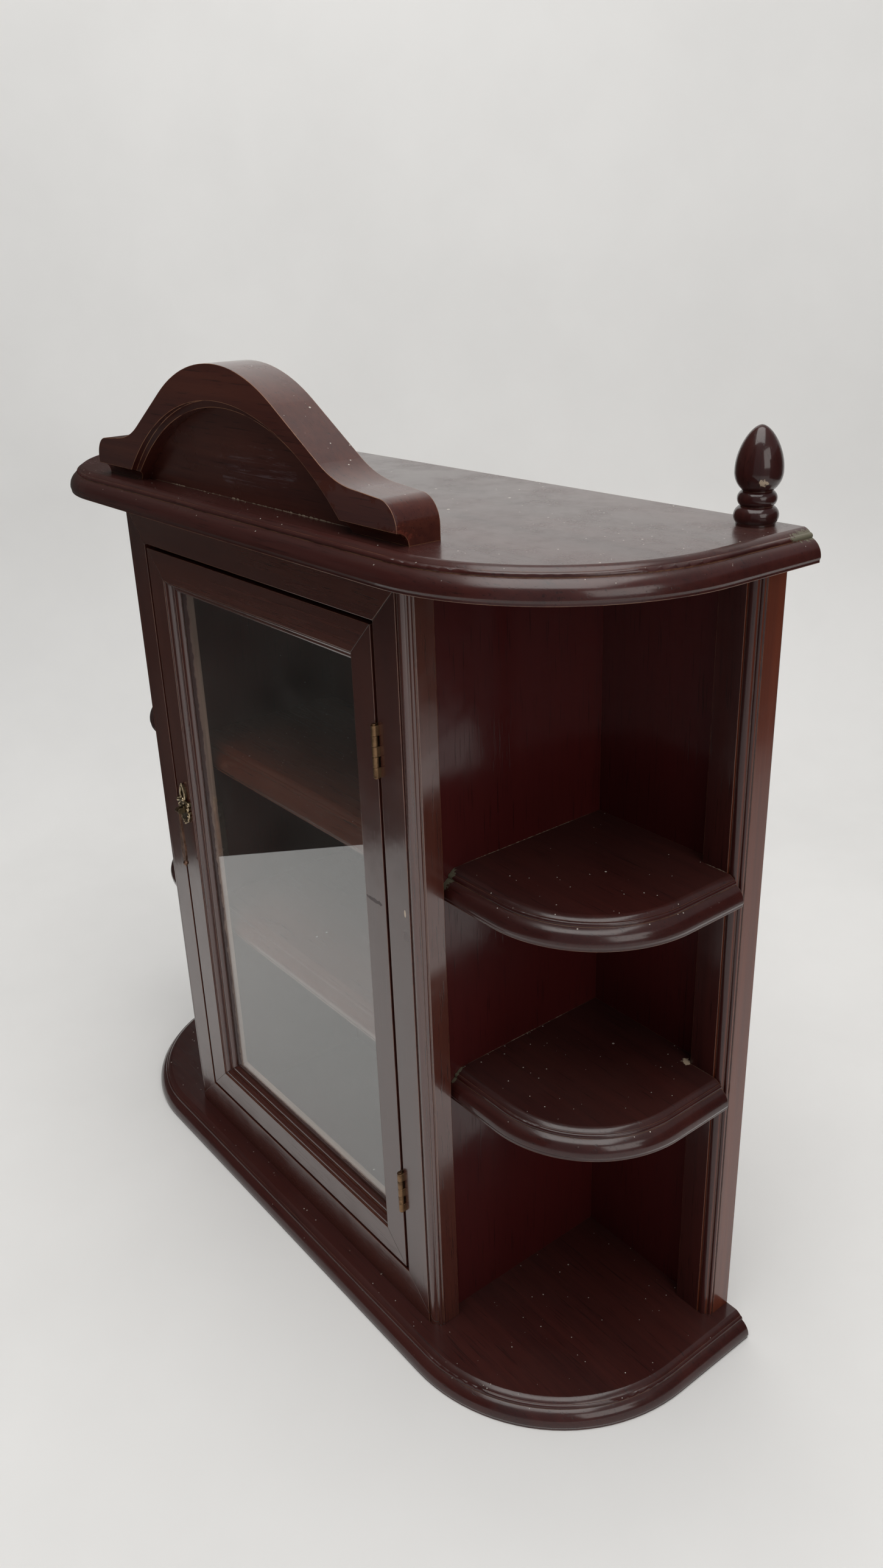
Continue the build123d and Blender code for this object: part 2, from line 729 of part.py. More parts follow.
for which in ("left", "right", "bottom", "top"):
    is_rail = which in ("bottom", "top")
    reach = door_half_width if is_rail else door_top
    with BuildPart() as door_member:
        with BuildSketch(door_section_planes[which]):
            with BuildLine():
                draw_door_section()
            make_face()
        extrude(amount=reach, both=True)
        with BuildSketch(front_plane):
            Polygon(*door_trapezium(which, door_half_width, door_bottom, door_top,
                                    door_member_width), align=None)
        extrude(amount=-door_thickness, mode=Mode.INTERSECT)
        if which == "right":
            cut_hinge_seats(-1)
        if which == "left":
            with BuildSketch(pull_plane):
                Circle(pull_stud_radius + fit)
            extrude(amount=-door_thickness, mode=Mode.SUBTRACT)
            with BuildSketch(pull_plane):
                with Locations(*plate_pin_points):
                    Circle(plate_pin_radius + fit)
            extrude(amount=-plate_pin_length, mode=Mode.SUBTRACT)
            with BuildSketch(strike_plane):
                with Locations((0, -strike_screw_rise), (0, strike_screw_rise)):
                    Circle(small_screw_radius + fit)
            extrude(amount=-small_screw_length, mode=Mode.SUBTRACT)
    save(door_member, f"door_{which}_{'rail' if is_rail else 'stile'}")

with BuildPart() as door_glass:
    glass_inset = rabbet_width - glass_gap
    with BuildSketch(Plane(origin=(0, glass_front_y, door_mid_z), x_dir=(1, 0, 0), z_dir=(0, -1, 0))):
        Rectangle(2 * (sight_half_width + glass_inset), sight_top - sight_bottom + 2 * glass_inset)
    extrude(amount=-glass_thickness)
save(door_glass, "door_glass")

bead_width = rabbet_width - 0.2
bead_depth = door_back_y - glass_back_y
rabbet_half_width = sight_half_width + rabbet_width

for which in ("left", "right", "bottom", "top"):
    with BuildPart() as glazing_bead:
        with BuildSketch(Plane(origin=(0, glass_back_y, 0), x_dir=(1, 0, 0), z_dir=(0, -1, 0))):
            Polygon(*door_trapezium(which, rabbet_half_width, sight_bottom - rabbet_width,
                                    sight_top + rabbet_width, bead_width), align=None)
        extrude(amount=-bead_depth)
    save(glazing_bead, f"glazing_bead_{which}")


# ------------------------------------------------------------------------- hinges

def make_leaf(centre, side, first_knuckle):
    """One hinge leaf with its own knuckles; side is 1 on the frame, -1 on the door."""
    bottom = centre - hinge_length / 2
    knuckle_pitch = hinge_length / knuckles
    leaf_x = axis_x + side * (knuckle_radius - leaf_thickness / 2)
    with BuildPart() as leaf:
        with BuildSketch(Plane.XY.offset(bottom)):
            with Locations((leaf_x, axis_y + (leaf_front_offset + leaf_back_offset) / 2)):
                Rectangle(leaf_thickness, leaf_back_offset - leaf_front_offset)
        extrude(amount=hinge_length)
        for index in range(first_knuckle, knuckles, 2):
            start = bottom + index * knuckle_pitch + knuckle_gap / 2
            with BuildSketch(Plane.XY.offset(start)):
                with Locations((axis_x, axis_y)):
                    Circle(knuckle_radius)
                with Locations((leaf_x, axis_y + leaf_front_offset / 2)):
                    Rectangle(leaf_thickness, leaf_front_offset)
                with Locations((axis_x, axis_y)):
                    Circle(pin_radius + pin_clearance, mode=Mode.SUBTRACT)
            extrude(amount=knuckle_pitch - knuckle_gap)
        for rise in (-hinge_screw_rise, hinge_screw_rise):
            inner_x = axis_x + side * (knuckle_radius - leaf_thickness)
            with BuildSketch(Plane(origin=(inner_x, hinge_screw_y, centre + rise), z_dir=(side, 0, 0))):
                Circle(small_screw_head_radius + fit)
            extrude(amount=leaf_thickness, mode=Mode.SUBTRACT)
    return leaf.part


for name, centre in hinge_centres.items():
    with BuildPart() as frame_leaf:
        add(make_leaf(centre, 1, 0))
    save(frame_leaf, f"{name}_hinge_frame_leaf")
    with BuildPart() as door_leaf:
        add(make_leaf(centre, -1, 1))
    save(door_leaf, f"{name}_hinge_door_leaf")
    with BuildPart() as hinge_pin:
        with Locations((axis_x, axis_y, centre)):
            Cylinder(pin_radius, hinge_length)
        with Locations((axis_x, axis_y, centre - hinge_length / 2 - 0.3),
                       (axis_x, axis_y, centre + hinge_length / 2 + 0.3)):
            Cylinder(pin_radius + 0.4, 0.6)
    save(hinge_pin, f"{name}_hinge_pin")

for side, name in ((1, "hinge_frame_screws"), (-1, "hinge_door_screws")):
    with BuildPart() as hinge_screws:
        for centre in hinge_centres.values():
            for rise in (-hinge_screw_rise, hinge_screw_rise):
                inner_x = axis_x + side * (knuckle_radius - leaf_thickness)
                screw_plane = Plane(origin=(inner_x, hinge_screw_y, centre + rise), z_dir=(side, 0, 0))
                with BuildSketch(screw_plane):
                    Circle(small_screw_head_radius)
                extrude(amount=leaf_thickness)
                with BuildSketch(screw_plane):
                    Circle(small_screw_radius)
                extrude(amount=small_screw_length)
    save(hinge_screws, name)

# ---------------------------------------------------------------------- drop pull

bar_half_width = 7.6
bar_rise = 5.6

with BuildPart() as pull_plate:
    with BuildSketch(pull_plane):
        Circle(5.2)
        with Locations((0, -6.4)):
            Ellipse(6.0, 3.2)
        with Locations((0, -8.8)):
            Circle(2.6)
        with Locations((0, bar_rise)):
            Rectangle(2 * bar_half_width, 2.4)
        with Locations((-bar_half_width, bar_rise), (bar_half_width, bar_rise)):
            Circle(1.9)
        for side in (-1, 1):
            with Locations((side * 6.2, 1.6), (side * 6.4, -1.8), (side * 5.6, -5.0)):
                Circle(1.5)
        with Locations((0, 11.6)):
            Ellipse(4.4, 6.6)
        with Locations((0, 17.4)):
            Circle(2.3)
        with Locations((0, 11.4)):
            Ellipse(1.9, 3.2, mode=Mode.SUBTRACT)
        Circle(pull_stud_radius + fit, mode=Mode.SUBTRACT)
        with Locations(*plate_pin_points):
            Circle(plate_pin_radius + fit, mode=Mode.SUBTRACT)
    extrude(amount=pull_plate_thickness)
save(pull_plate, "pull_plate")

with BuildPart() as plate_pins:
    for x, rise in plate_pin_points:
        pin_plane = Plane(origin=(pull_x + x, face_y, pull_pivot_z + rise), z_dir=(0, -1, 0))
        with BuildSketch(pin_plane):
            Circle(plate_pin_radius)
        extrude(amount=pull_plate_thickness)
        with BuildSketch(pin_plane):
            Circle(plate_pin_radius)
        extrude(amount=-(plate_pin_length - 0.5))
        with BuildSketch(pin_plane.offset(pull_plate_thickness)):
            Circle(1.2)
        extrude(amount=0.6, taper=25)
save(plate_pins, "plate_pins")

ear_gap = 1.1                          # half the gap between the two ears of the stud
ear_thickness = 1.1
ear_radius = 2.0
collar_radius = 3.0
collar_thickness = 1.2

with BuildPart() as pull_stud:
    with BuildSketch(pull_plane):
        Circle(pull_stud_radius)
    extrude(amount=-(door_thickness + 2.6))
    with BuildSketch(pull_plane):
        Circle(pull_stud_radius)
    extrude(amount=pull_plate_thickness)
    with BuildSketch(pull_plane.offset(pull_plate_thickness)):
        Circle(collar_radius)
    extrude(amount=collar_thickness)
    ear_front = face_y - pull_plate_thickness - collar_thickness
    for side in (-1, 1):
        start_x = pull_x + side * (ear_gap + (ear_thickness if side < 0 else 0))
        with BuildSketch(Plane(origin=(start_x, 0, 0), x_dir=(0, 1, 0), z_dir=(1, 0, 0))):
            with Locations((pull_pivot_y, pull_pivot_z)):
                Circle(ear_radius)
            with Locations(((pull_pivot_y + ear_front) / 2, pull_pivot_z)):
                Rectangle(ear_front - pull_pivot_y, 2 * ear_radius)
        extrude(amount=ear_thickness)
    pin_half_length = ear_gap + ear_thickness
    with BuildSketch(Plane(origin=(pull_x - pin_half_length, pull_pivot_y, pull_pivot_z),
                           z_dir=(1, 0, 0))):
        Circle(pull_pin_radius)
    extrude(amount=2 * pin_half_length)
save(pull_stud, "pull_stud")

with BuildPart() as pull_nut:
    with BuildSketch(pull_plane.offset(-door_thickness)):
        RegularPolygon(3.2, 6)
        Circle(pull_stud_radius, mode=Mode.SUBTRACT)
    extrude(amount=-2.2)
save(pull_nut, "pull_nut")

drop_eye_radius = 1.7
drop_thickness = 1.6
drop_plane = Plane(origin=(pull_x, pull_pivot_y, pull_pivot_z), x_dir=(1, 0, 0), z_dir=(0, -1, 0))
drop_eye_plane = Plane(origin=(pull_x - drop_thickness / 2, pull_pivot_y, pull_pivot_z),
                       z_dir=(1, 0, 0))

with BuildPart() as pull_drop:
    with BuildSketch(drop_eye_plane):
        Circle(drop_eye_radius)
        Circle(pull_pin_radius + pin_clearance, mode=Mode.SUBTRACT)
    extrude(amount=drop_thickness)
    with BuildSketch(drop_plane.offset(-drop_thickness / 2)):
        with BuildLine():
            drop_foot = -drop_length + 4.0
            Line((-0.8, -1.2), (-0.8, -4.0))
            Spline((-0.8, -4.0), (-2.3, -24.0), (-1.2, drop_foot), tangents=((-0.05, -1), (0.4, -1)))
            Line((-1.2, drop_foot), (1.2, drop_foot))
            Spline((1.2, drop_foot), (2.3, -24.0), (0.8, -4.0), tangents=((0.4, 1), (-0.05, 1)))
            Polyline((0.8, -4.0), (0.8, -1.2), (-0.8, -1.2))
        make_face()
    extrude(amount=drop_thickness)
    with Locations((pull_x, pull_pivot_y, pull_pivot_z - drop_length + 3.2)):
        Sphere(2.0)
    with Locations((pull_x, pull_pivot_y, pull_pivot_z - drop_length + 0.8)):
        Cone(0.4, 1.1, 1.6)
    with BuildSketch(drop_eye_plane):
        Circle(pull_pin_radius + pin_clearance)
    extrude(amount=drop_thickness, mode=Mode.SUBTRACT)
save(pull_drop, "pull_drop")

# -------------------------------------------------------------------------- catch

magnet_thickness = 6.0
magnet_height = 24.0
magnet_reach = 8.0
catch_centre_x = -side_panel_inner + catch_width / 2
magnet_plane = Plane(origin=(catch_centre_x + 2.0, catch_front_y, catch_z), x_dir=(1, 0, 0),
                     z_dir=(0, -1, 0))

with BuildPart() as catch_body:
    with BuildSketch(Plane.XY.offset(catch_z - catch_height / 2)):
        with Locations((catch_centre_x, catch_front_y + catch_depth / 2)):
            RectangleRounded(catch_width, catch_depth, 1.5)
    extrude(amount=catch_height)
    with BuildSketch(magnet_plane):
        Rectangle(magnet_thickness + 0.1, magnet_height + 0.1)
    extrude(amount=-magnet_reach, mode=Mode.SUBTRACT)
    for rise in (-catch_screw_rise, catch_screw_rise):
        with BuildSketch(Plane(origin=(-side_panel_inner, catch_screw_y, catch_z + rise),
                               z_dir=(1, 0, 0))):
            Circle(small_screw_radius + fit)
        extrude(amount=catch_width, mode=Mode.SUBTRACT)
save(catch_body, "catch_body")

with BuildPart() as catch_magnet:
    with BuildSketch(magnet_plane):
        Rectangle(magnet_thickness, magnet_height)
    extrude(amount=-(magnet_reach - 0.1))
save(catch_magnet, "catch_magnet")

with BuildPart() as catch_screws:
    for rise in (-catch_screw_rise, catch_screw_rise):
        screw_plane = Plane(origin=(-side_panel_inner + catch_width, catch_screw_y,
                                    catch_z + rise), z_dir=(1, 0, 0))
        with BuildSketch(screw_plane):
            Circle(small_screw_radius)
        extrude(amount=-(catch_width + catch_screw_bite))
        with BuildSketch(screw_plane):
            Circle(small_screw_head_radius)
        extrude(amount=1.0, taper=20)
save(catch_screws, "catch_screws")

with BuildPart() as strike_plate:
    with BuildSketch(strike_plane):
        RectangleRounded(strike_width, strike_height, 2.0)
        with Locations((0, -strike_screw_rise), (0, strike_screw_rise)):
            Circle(small_screw_head_radius + fit, mode=Mode.SUBTRACT)
    extrude(amount=strike_thickness)
save(strike_plate, "strike_plate")

with BuildPart() as strike_screws:
    for rise in (-strike_screw_rise, strike_screw_rise):
        screw_plane = Plane(origin=(pull_x, door_back_y, catch_z + rise), z_dir=(0, 1, 0))
        with BuildSketch(screw_plane):
            Circle(small_screw_head_radius)
        extrude(amount=strike_thickness)
        with BuildSketch(screw_plane):
            Circle(small_screw_radius)
        extrude(amount=-(small_screw_length - 0.5))
save(strike_screws, "strike_screws")
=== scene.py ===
# %% [markdown]
# # A small mahogany display case
#
# The case is a glazed cabinet between two rounded boards, with open corner shelves at
# both sides, an arched pediment and turned finials. The joinery comes from the packed
# frame, piece by piece, in metres. This lesson gives every piece its finish, adds the
# small cast and worn details, and sets the studio, the lights and the camera.

# %% Load the frame
import math
import random

import bmesh
import bpy
from mathutils import Matrix, Vector


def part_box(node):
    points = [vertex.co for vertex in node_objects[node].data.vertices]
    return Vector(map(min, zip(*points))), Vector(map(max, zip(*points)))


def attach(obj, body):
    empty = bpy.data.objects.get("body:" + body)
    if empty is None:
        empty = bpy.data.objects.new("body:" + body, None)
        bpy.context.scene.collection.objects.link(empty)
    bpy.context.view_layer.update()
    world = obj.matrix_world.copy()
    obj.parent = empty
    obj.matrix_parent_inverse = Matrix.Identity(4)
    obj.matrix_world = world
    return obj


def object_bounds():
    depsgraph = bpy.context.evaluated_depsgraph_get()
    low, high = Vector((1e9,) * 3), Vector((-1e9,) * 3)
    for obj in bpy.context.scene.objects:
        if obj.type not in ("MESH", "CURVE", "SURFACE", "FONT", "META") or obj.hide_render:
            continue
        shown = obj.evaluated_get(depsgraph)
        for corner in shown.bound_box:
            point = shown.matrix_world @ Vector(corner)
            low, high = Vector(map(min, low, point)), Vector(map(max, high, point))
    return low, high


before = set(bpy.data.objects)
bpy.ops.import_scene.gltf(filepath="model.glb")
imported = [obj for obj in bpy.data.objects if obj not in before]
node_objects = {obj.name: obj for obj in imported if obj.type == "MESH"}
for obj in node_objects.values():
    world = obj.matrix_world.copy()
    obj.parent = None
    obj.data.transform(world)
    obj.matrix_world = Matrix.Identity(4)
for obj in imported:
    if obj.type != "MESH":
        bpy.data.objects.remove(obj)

cad_low, cad_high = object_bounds()
MM = 0.001
cad_size = [round(c / MM, 1) for c in cad_high - cad_low]
print("CAD box, mm:", cad_size, "nodes:", len(node_objects))

# %% [markdown]
# ## Building finishes from nodes
#
# A finish could be painted in the shader editor, but a handful of short helpers says
# the same thing in words. `Finish` holds one material and adds one texture or one sum
# at a time. Every texture is laid in the piece's own coordinates, in metres, so that
# the scale of a grain line or a speck of dust can be read as a real size.

# %% The helper for materials


class Finish:
    """One material under construction, with one method for each kind of node."""

    def __init__(self, name, seed=0.0):
        self.material = bpy.data.materials.new(name)
        self.material.use_nodes = True
        self.nodes = self.material.node_tree.nodes
        self.links = self.material.node_tree.links
        self.nodes.clear()
        self.output = self.nodes.new("ShaderNodeOutputMaterial")
        coordinate = self.nodes.new("ShaderNodeTexCoord").outputs["Object"]
        self.place = self.vector("ADD", coordinate, (seed, 1.7 * seed, -0.6 * seed))

    def put(self, socket, value):
        """Link a socket's value, or set a plain one."""
        if isinstance(value, bpy.types.NodeSocket):
            self.links.new(value, socket)
        else:
            socket.default_value = value

    def math(self, operation, a, b=0.0, clamp=False):
        node = self.nodes.new("ShaderNodeMath")
        node.operation = operation
        node.use_clamp = clamp
        self.put(node.inputs[0], a)
        self.put(node.inputs[1], b)
        return node.outputs[0]

    def vector(self, operation, a, b=(0, 0, 0), result=0):
        node = self.nodes.new("ShaderNodeVectorMath")
        node.operation = operation
        self.put(node.inputs[0], a)
        self.put(node.inputs[1], b)
        return node.outputs[result]

    def noise(self, scale, detail=3.0, rough=0.55, warp=0.0, stretch=(1, 1, 1)):
        """Soft noise; scale is in features per metre and stretch sets it for each axis."""
        place = self.vector("MULTIPLY", self.place, stretch)
        node = self.nodes.new("ShaderNodeTexNoise")
        self.put(node.inputs["Vector"], place)
        self.put(node.inputs["Scale"], scale)
        self.put(node.inputs["Detail"], detail)
        self.put(node.inputs["Roughness"], rough)
        self.put(node.inputs["Distortion"], warp)
        return node.outputs["Fac"]

    def specks(self, spacing, size, share):
        """Small round specks: their spacing and size in metres, and how many cells have one."""
        node = self.nodes.new("ShaderNodeTexVoronoi")
        self.put(node.inputs["Vector"], self.place)
        self.put(node.inputs["Scale"], 1.0 / spacing)
        chance = self.nodes.new("ShaderNodeSeparateColor")
        self.links.new(node.outputs["Color"], chance.inputs[0])
        reach = self.math("MULTIPLY", chance.outputs[1], size / spacing)
        near = self.math("LESS_THAN", node.outputs["Distance"], reach)
        chosen = self.math("LESS_THAN", chance.outputs[0], share)
        return self.math("MULTIPLY", near, chosen)

    def span(self, value, low, high, to_low=0.0, to_high=1.0):
        """Map a value from low..high to to_low..to_high, smoothly and clamped."""
        node = self.nodes.new("ShaderNodeMapRange")
        node.interpolation_type = "SMOOTHSTEP"
        for socket, number in zip(node.inputs[:5], (value, low, high, to_low, to_high)):
            self.put(socket, number)
        return node.outputs[0]

    def mix(self, amount, a, b):
        """Mix two colours."""
        node = self.nodes.new("ShaderNodeMix")
        node.data_type = "RGBA"
        self.put(node.inputs[0], amount)
        for socket, colour in ((node.inputs[6], a), (node.inputs[7], b)):
            self.put(socket, (*colour, 1.0) if isinstance(colour, tuple) else colour)
        return node.outputs[2]

    def edges(self, radius):
        """0 on flat ground and up to 1 at an arris, and the softened normal there."""
        bevel = self.nodes.new("ShaderNodeBevel")
        bevel.samples = 6
        self.put(bevel.inputs["Radius"], radius)
        geometry = self.nodes.new("ShaderNodeNewGeometry")
        true_normal = geometry.outputs["Normal"]
        likeness = self.vector("DOT_PRODUCT", bevel.outputs[0], true_normal, result=1)
        return self.span(likeness, 0.985, 0.88), bevel.outputs[0]

    def facing_up(self):
        """1 on a surface that faces straight up, where dust can settle."""
        geometry = self.nodes.new("ShaderNodeNewGeometry")
        split = self.nodes.new("ShaderNodeSeparateXYZ")
        self.links.new(geometry.outputs["Normal"], split.inputs[0])
        return self.span(split.outputs["Z"], 0.55, 0.90)

    def part_of(self, axis):
        """One coordinate of the place on the piece, in metres, without the seed."""
        split = self.nodes.new("ShaderNodeSeparateXYZ")
        coordinate = self.nodes.new("ShaderNodeTexCoord").outputs["Object"]
        self.links.new(coordinate, split.inputs[0])
        return split.outputs[axis]

    def spot(self, centre, size, ragged=0.5, grain=400.0):
        """A ragged patch round a point; size is its reach along each axis, in metres."""
        coordinate = self.nodes.new("ShaderNodeTexCoord").outputs["Object"]
        away = self.vector("SUBTRACT", coordinate, tuple(centre))
        away = self.vector("DIVIDE", away, tuple(size))
        reach = self.vector("LENGTH", away, result=1)
        wander = self.math("SUBTRACT", self.noise(grain, 4, 0.7), 0.5)
        torn = self.math("MULTIPLY", wander, 4.0 * ragged)
        return self.span(self.math("ADD", reach, torn), 1.0, 0.8)

    def mitre_lines(self, low, high, width):
        """1 along the four mitre joints of a frame whose front view fills low..high."""
        middle = (low.z + high.z) / 2
        across = self.math("ABSOLUTE", self.part_of("X"))
        rise = self.math("ABSOLUTE", self.math("SUBTRACT", self.part_of("Z"), middle))
        offset = high.x - (high.z - low.z) / 2
        beyond = self.math("SUBTRACT", self.math("SUBTRACT", across, rise), offset)
        return self.span(self.math("ABSOLUTE", beyond), width, 0.4 * width)

    def bump(self, height, depth, normal=None):
        """Relief whose depth, in metres, is that of a height of 1."""
        node = self.nodes.new("ShaderNodeBump")
        self.put(node.inputs["Height"], height)
        self.put(node.inputs["Distance"], depth)
        if normal is not None:
            self.put(node.inputs["Normal"], normal)
        return node.outputs[0]

    def surface(self, **values):
        """Finish with a Principled shader; names have _ for a space."""
        shader = self.nodes.new("ShaderNodeBsdfPrincipled")
        for name, value in values.items():
            if isinstance(value, tuple) and len(value) == 3:
                value = (*value, 1.0)
            self.put(shader.inputs[name.replace("_", " ")], value)
        self.links.new(shader.outputs[0], self.output.inputs[0])
        return shader


print("node helpers ready")

# %% [markdown]
# ## Mahogany stain under lacquer
#
# The case is a plain hardwood, stained to a very dark red brown and sprayed with a
# semi-gloss lacquer. Three things make it read as that and not as brown plastic: long
# faint grain along each member, a clear coat whose gloss wanders a little, and the thin
# lighter line along every arris where the stain has been rubbed through. Each member is
# its own piece of wood, so each gets its own seed and the direction its grain runs.

# %% Stained wood
# Along the grain a texture is drawn out to about thirty times its width.
GRAIN = {"x": (0.035, 1, 1), "z": (1, 1, 0.035)}
WOOD_SPECULAR = 0.12


def stained_wood(name, grain, dark, light, seed, gloss, wear, dust, figure, coat, marks):
    """Dark stained hardwood under a sprayed lacquer.

    Each mark is (mask maker, colour, amount, roughness): a scuff, chip, joint or smear, or painted
    light.
    """
    f = Finish(name, seed)
    along = GRAIN[grain]
    broad = f.noise(22, 3, 0.5, 0.6, along)
    fine = f.noise(260, 5, 0.65, 0.2, along)
    pores = f.noise(900, 3, 0.6, 0.0, along)
    tone = f.math("ADD", f.math("MULTIPLY", broad, 0.6), f.math("MULTIPLY", fine, 0.4))
    lightness = f.span(tone, 0.50 - 0.12 / max(figure, 0.1), 0.50 + 0.12 / max(figure, 0.1))
    colour = f.mix(lightness, dark, light)
    pore_mask = f.span(pores, 0.58, 0.70)
    colour = f.mix(f.math("MULTIPLY", pore_mask, 0.6), colour, tuple(0.25 * c for c in dark))
    arris, soft_normal = f.edges(0.6 * MM)
    patchy = f.span(f.noise(60, 4, 0.7), 0.34, 0.56, 0.15, 1.0)
    rubbed = f.math("MULTIPLY", f.math("MULTIPLY", arris, patchy), wear, clamp=True)
    colour = f.mix(rubbed, colour, RUBBED)
    clouds = f.noise(30, 4, 0.6)
    film_rough = f.span(clouds, 0.35, 0.70, 0.75 * gloss, 1.5 * gloss)
    if dust:
        up = f.facing_up()
        film = f.math("MULTIPLY", up, f.span(f.noise(12, 4, 0.6), 0.3, 0.75, 0.35, 1.0))
        crumbs, motes = f.specks(9 * MM, 0.9 * MM, 0.22), f.specks(3.1 * MM, 0.42 * MM, 0.25)
        flecks = f.math("MAXIMUM", crumbs, motes)
        flecks = f.math("MULTIPLY", flecks, f.math("MULTIPLY", up, dust), clamp=True)
        colour = f.mix(f.math("MULTIPLY", film, 0.04 * dust), colour, DUST_FILM)
        colour = f.mix(flecks, colour, DUST_FLECK)
        film_rough = f.math("ADD", film_rough, f.math("MULTIPLY", film, 0.08 * dust))
        film_rough = f.math("MAXIMUM", film_rough, f.math("MULTIPLY", flecks, 0.8))
    for mask_of, tint, amount, roughness in marks:
        mask = f.math("MULTIPLY", mask_of(f), amount, clamp=True)
        colour = f.mix(mask, colour, tint)
        film_rough = f.math("MAXIMUM", film_rough, f.math("MULTIPLY", mask, roughness))
    relief = f.math("SUBTRACT", f.math("MULTIPLY", fine, 0.5), f.math("MULTIPLY", pore_mask, 0.6))
    normal = f.bump(relief, 0.03 * MM, soft_normal)
    normal = f.bump(f.noise(48, 2, 0.4), 0.08 * MM, normal)
    f.surface(Base_Color=colour, Roughness=0.45, Normal=normal, IOR=1.45,
              Specular_IOR_Level=WOOD_SPECULAR, Coat_Weight=1.0, Coat_Roughness=film_rough,
              Coat_IOR=coat, Coat_Normal=normal)
    return f.material


DARK = (0.0380, 0.0078, 0.0062)
BROWN = (0.0720, 0.0175, 0.0102)
BLACK_BROWN = (0.0220, 0.0046, 0.0044)
PLUM = (0.0480, 0.0098, 0.0076)
DEEP = (0.0380, 0.0040, 0.0042)
RED = (0.0580, 0.0062, 0.0056)
# A lighter amber that is painted light: it brightens the sideways faces of the posts and the inner
# shelves.
PAINTED_LIGHT_AMBER = (0.1200, 0.0250, 0.0100)
RUBBED = (0.420, 0.200, 0.105)
JOINT = (0.006, 0.003, 0.003)
CHALKY = (0.30, 0.24, 0.22)
BARE = (0.46, 0.36, 0.26)
GREENISH = (0.115, 0.110, 0.070)
CHALK_STROKE = (0.120, 0.085, 0.095)
RED_CHIP = (0.12, 0.02, 0.01)
GREY_HAZE = (0.09, 0.055, 0.055)
DUST_FILM = (0.22, 0.17, 0.15)
DUST_FLECK = (0.50, 0.46, 0.41)


def at_point(centre, size, ragged=0.5, grain=400.0):
    """A mark that is a ragged patch."""
    return lambda f: f.spot(centre, size, ragged, grain)


def at_mitres(low, high, width=0.35 * MM):
    """A mark along the mitre joints of a frame."""
    return lambda f: f.mitre_lines(low, high, width)


def streaks(centre, size, grain):
    """A mark made of many fine strokes inside a patch."""

    def mask(f):
        strokes = f.span(f.noise(420, 4, 0.7, 1.5, GRAIN[grain]), 0.52, 0.62)
        return f.math("MULTIPLY", f.spot(centre, size, 0.35, 60.0), strokes)

    return mask


def painted_side_light(f):
    """Painted light: a lighter tone over the faces that look sideways, where the light from the
    side falls.
    """
    geometry = f.nodes.new("ShaderNodeNewGeometry")
    split = f.nodes.new("ShaderNodeSeparateXYZ")
    f.links.new(geometry.outputs["Normal"], split.inputs[0])
    streaky = f.span(f.noise(60, 4, 0.6, 0.4, GRAIN["z"]), 0.3, 0.6, 0.5, 1.0)
    return f.math("MULTIPLY", f.span(f.math("ABSOLUTE", split.outputs["X"]), 0.8, 0.97), streaky)


frame_low, frame_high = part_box("frame_left_stile")[0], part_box("frame_right_stile")[1]
door_low, door_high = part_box("door_left_stile")[0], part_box("door_right_stile")[1]
frame_joint = (at_mitres(frame_low, frame_high), JOINT, 0.85, 0.6)
door_joint = (at_mitres(door_low, door_high), JOINT, 0.85, 0.6)
panel_low, panel_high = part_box("pediment_panel")
finial_low, finial_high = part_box("right_finial")
finial_middle = (finial_low + finial_high) / 2
arch_low, arch_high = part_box("pediment_arch")
top_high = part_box("top_board")[1]
shelf_low, shelf_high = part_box("right_shelf_upper")
lower_low, lower_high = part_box("right_shelf_lower")

# Where each scuff or chip lies, measured from the edges of the piece that carries it.
CHIP_HEIGHT, SMUDGE_HEIGHT, DENT_HEIGHT = 0.3165, 0.302, 0.313
STROKES_X, CRUMB_X = 0.018, 0.2350
chip = (frame_high.x - 12 * MM, frame_low.y, CHIP_HEIGHT)
smudge = (frame_high.x - 12 * MM, frame_low.y, SMUDGE_HEIGHT)
dent = (door_high.x - 10 * MM, door_low.y, DENT_HEIGHT)
strokes = (STROKES_X, panel_low.y, panel_low.z + 19 * MM)
foot_chip = (arch_high.x, arch_low.y, arch_low.z + 4 * MM)
foot_haze = (arch_high.x - 30 * MM, arch_low.y, arch_low.z + 15 * MM)
egg_chip = (finial_high.x - 3 * MM, finial_low.y + 3.5 * MM, finial_middle.z + 1 * MM)
top_stain = (top_high.x - 4 * MM, top_high.y - 4 * MM, top_high.z - 3 * MM)
top_haze = (top_high.x - 60 * MM, top_high.y - 30 * MM, top_high.z)
upper_stain = (shelf_low.x, shelf_low.y + 5 * MM, shelf_high.z - 5 * MM)
lower_stain = (lower_low.x, lower_low.y + 5 * MM, lower_high.z - 3 * MM)
crumb = (CRUMB_X, lower_high.y - 8 * MM, lower_high.z)

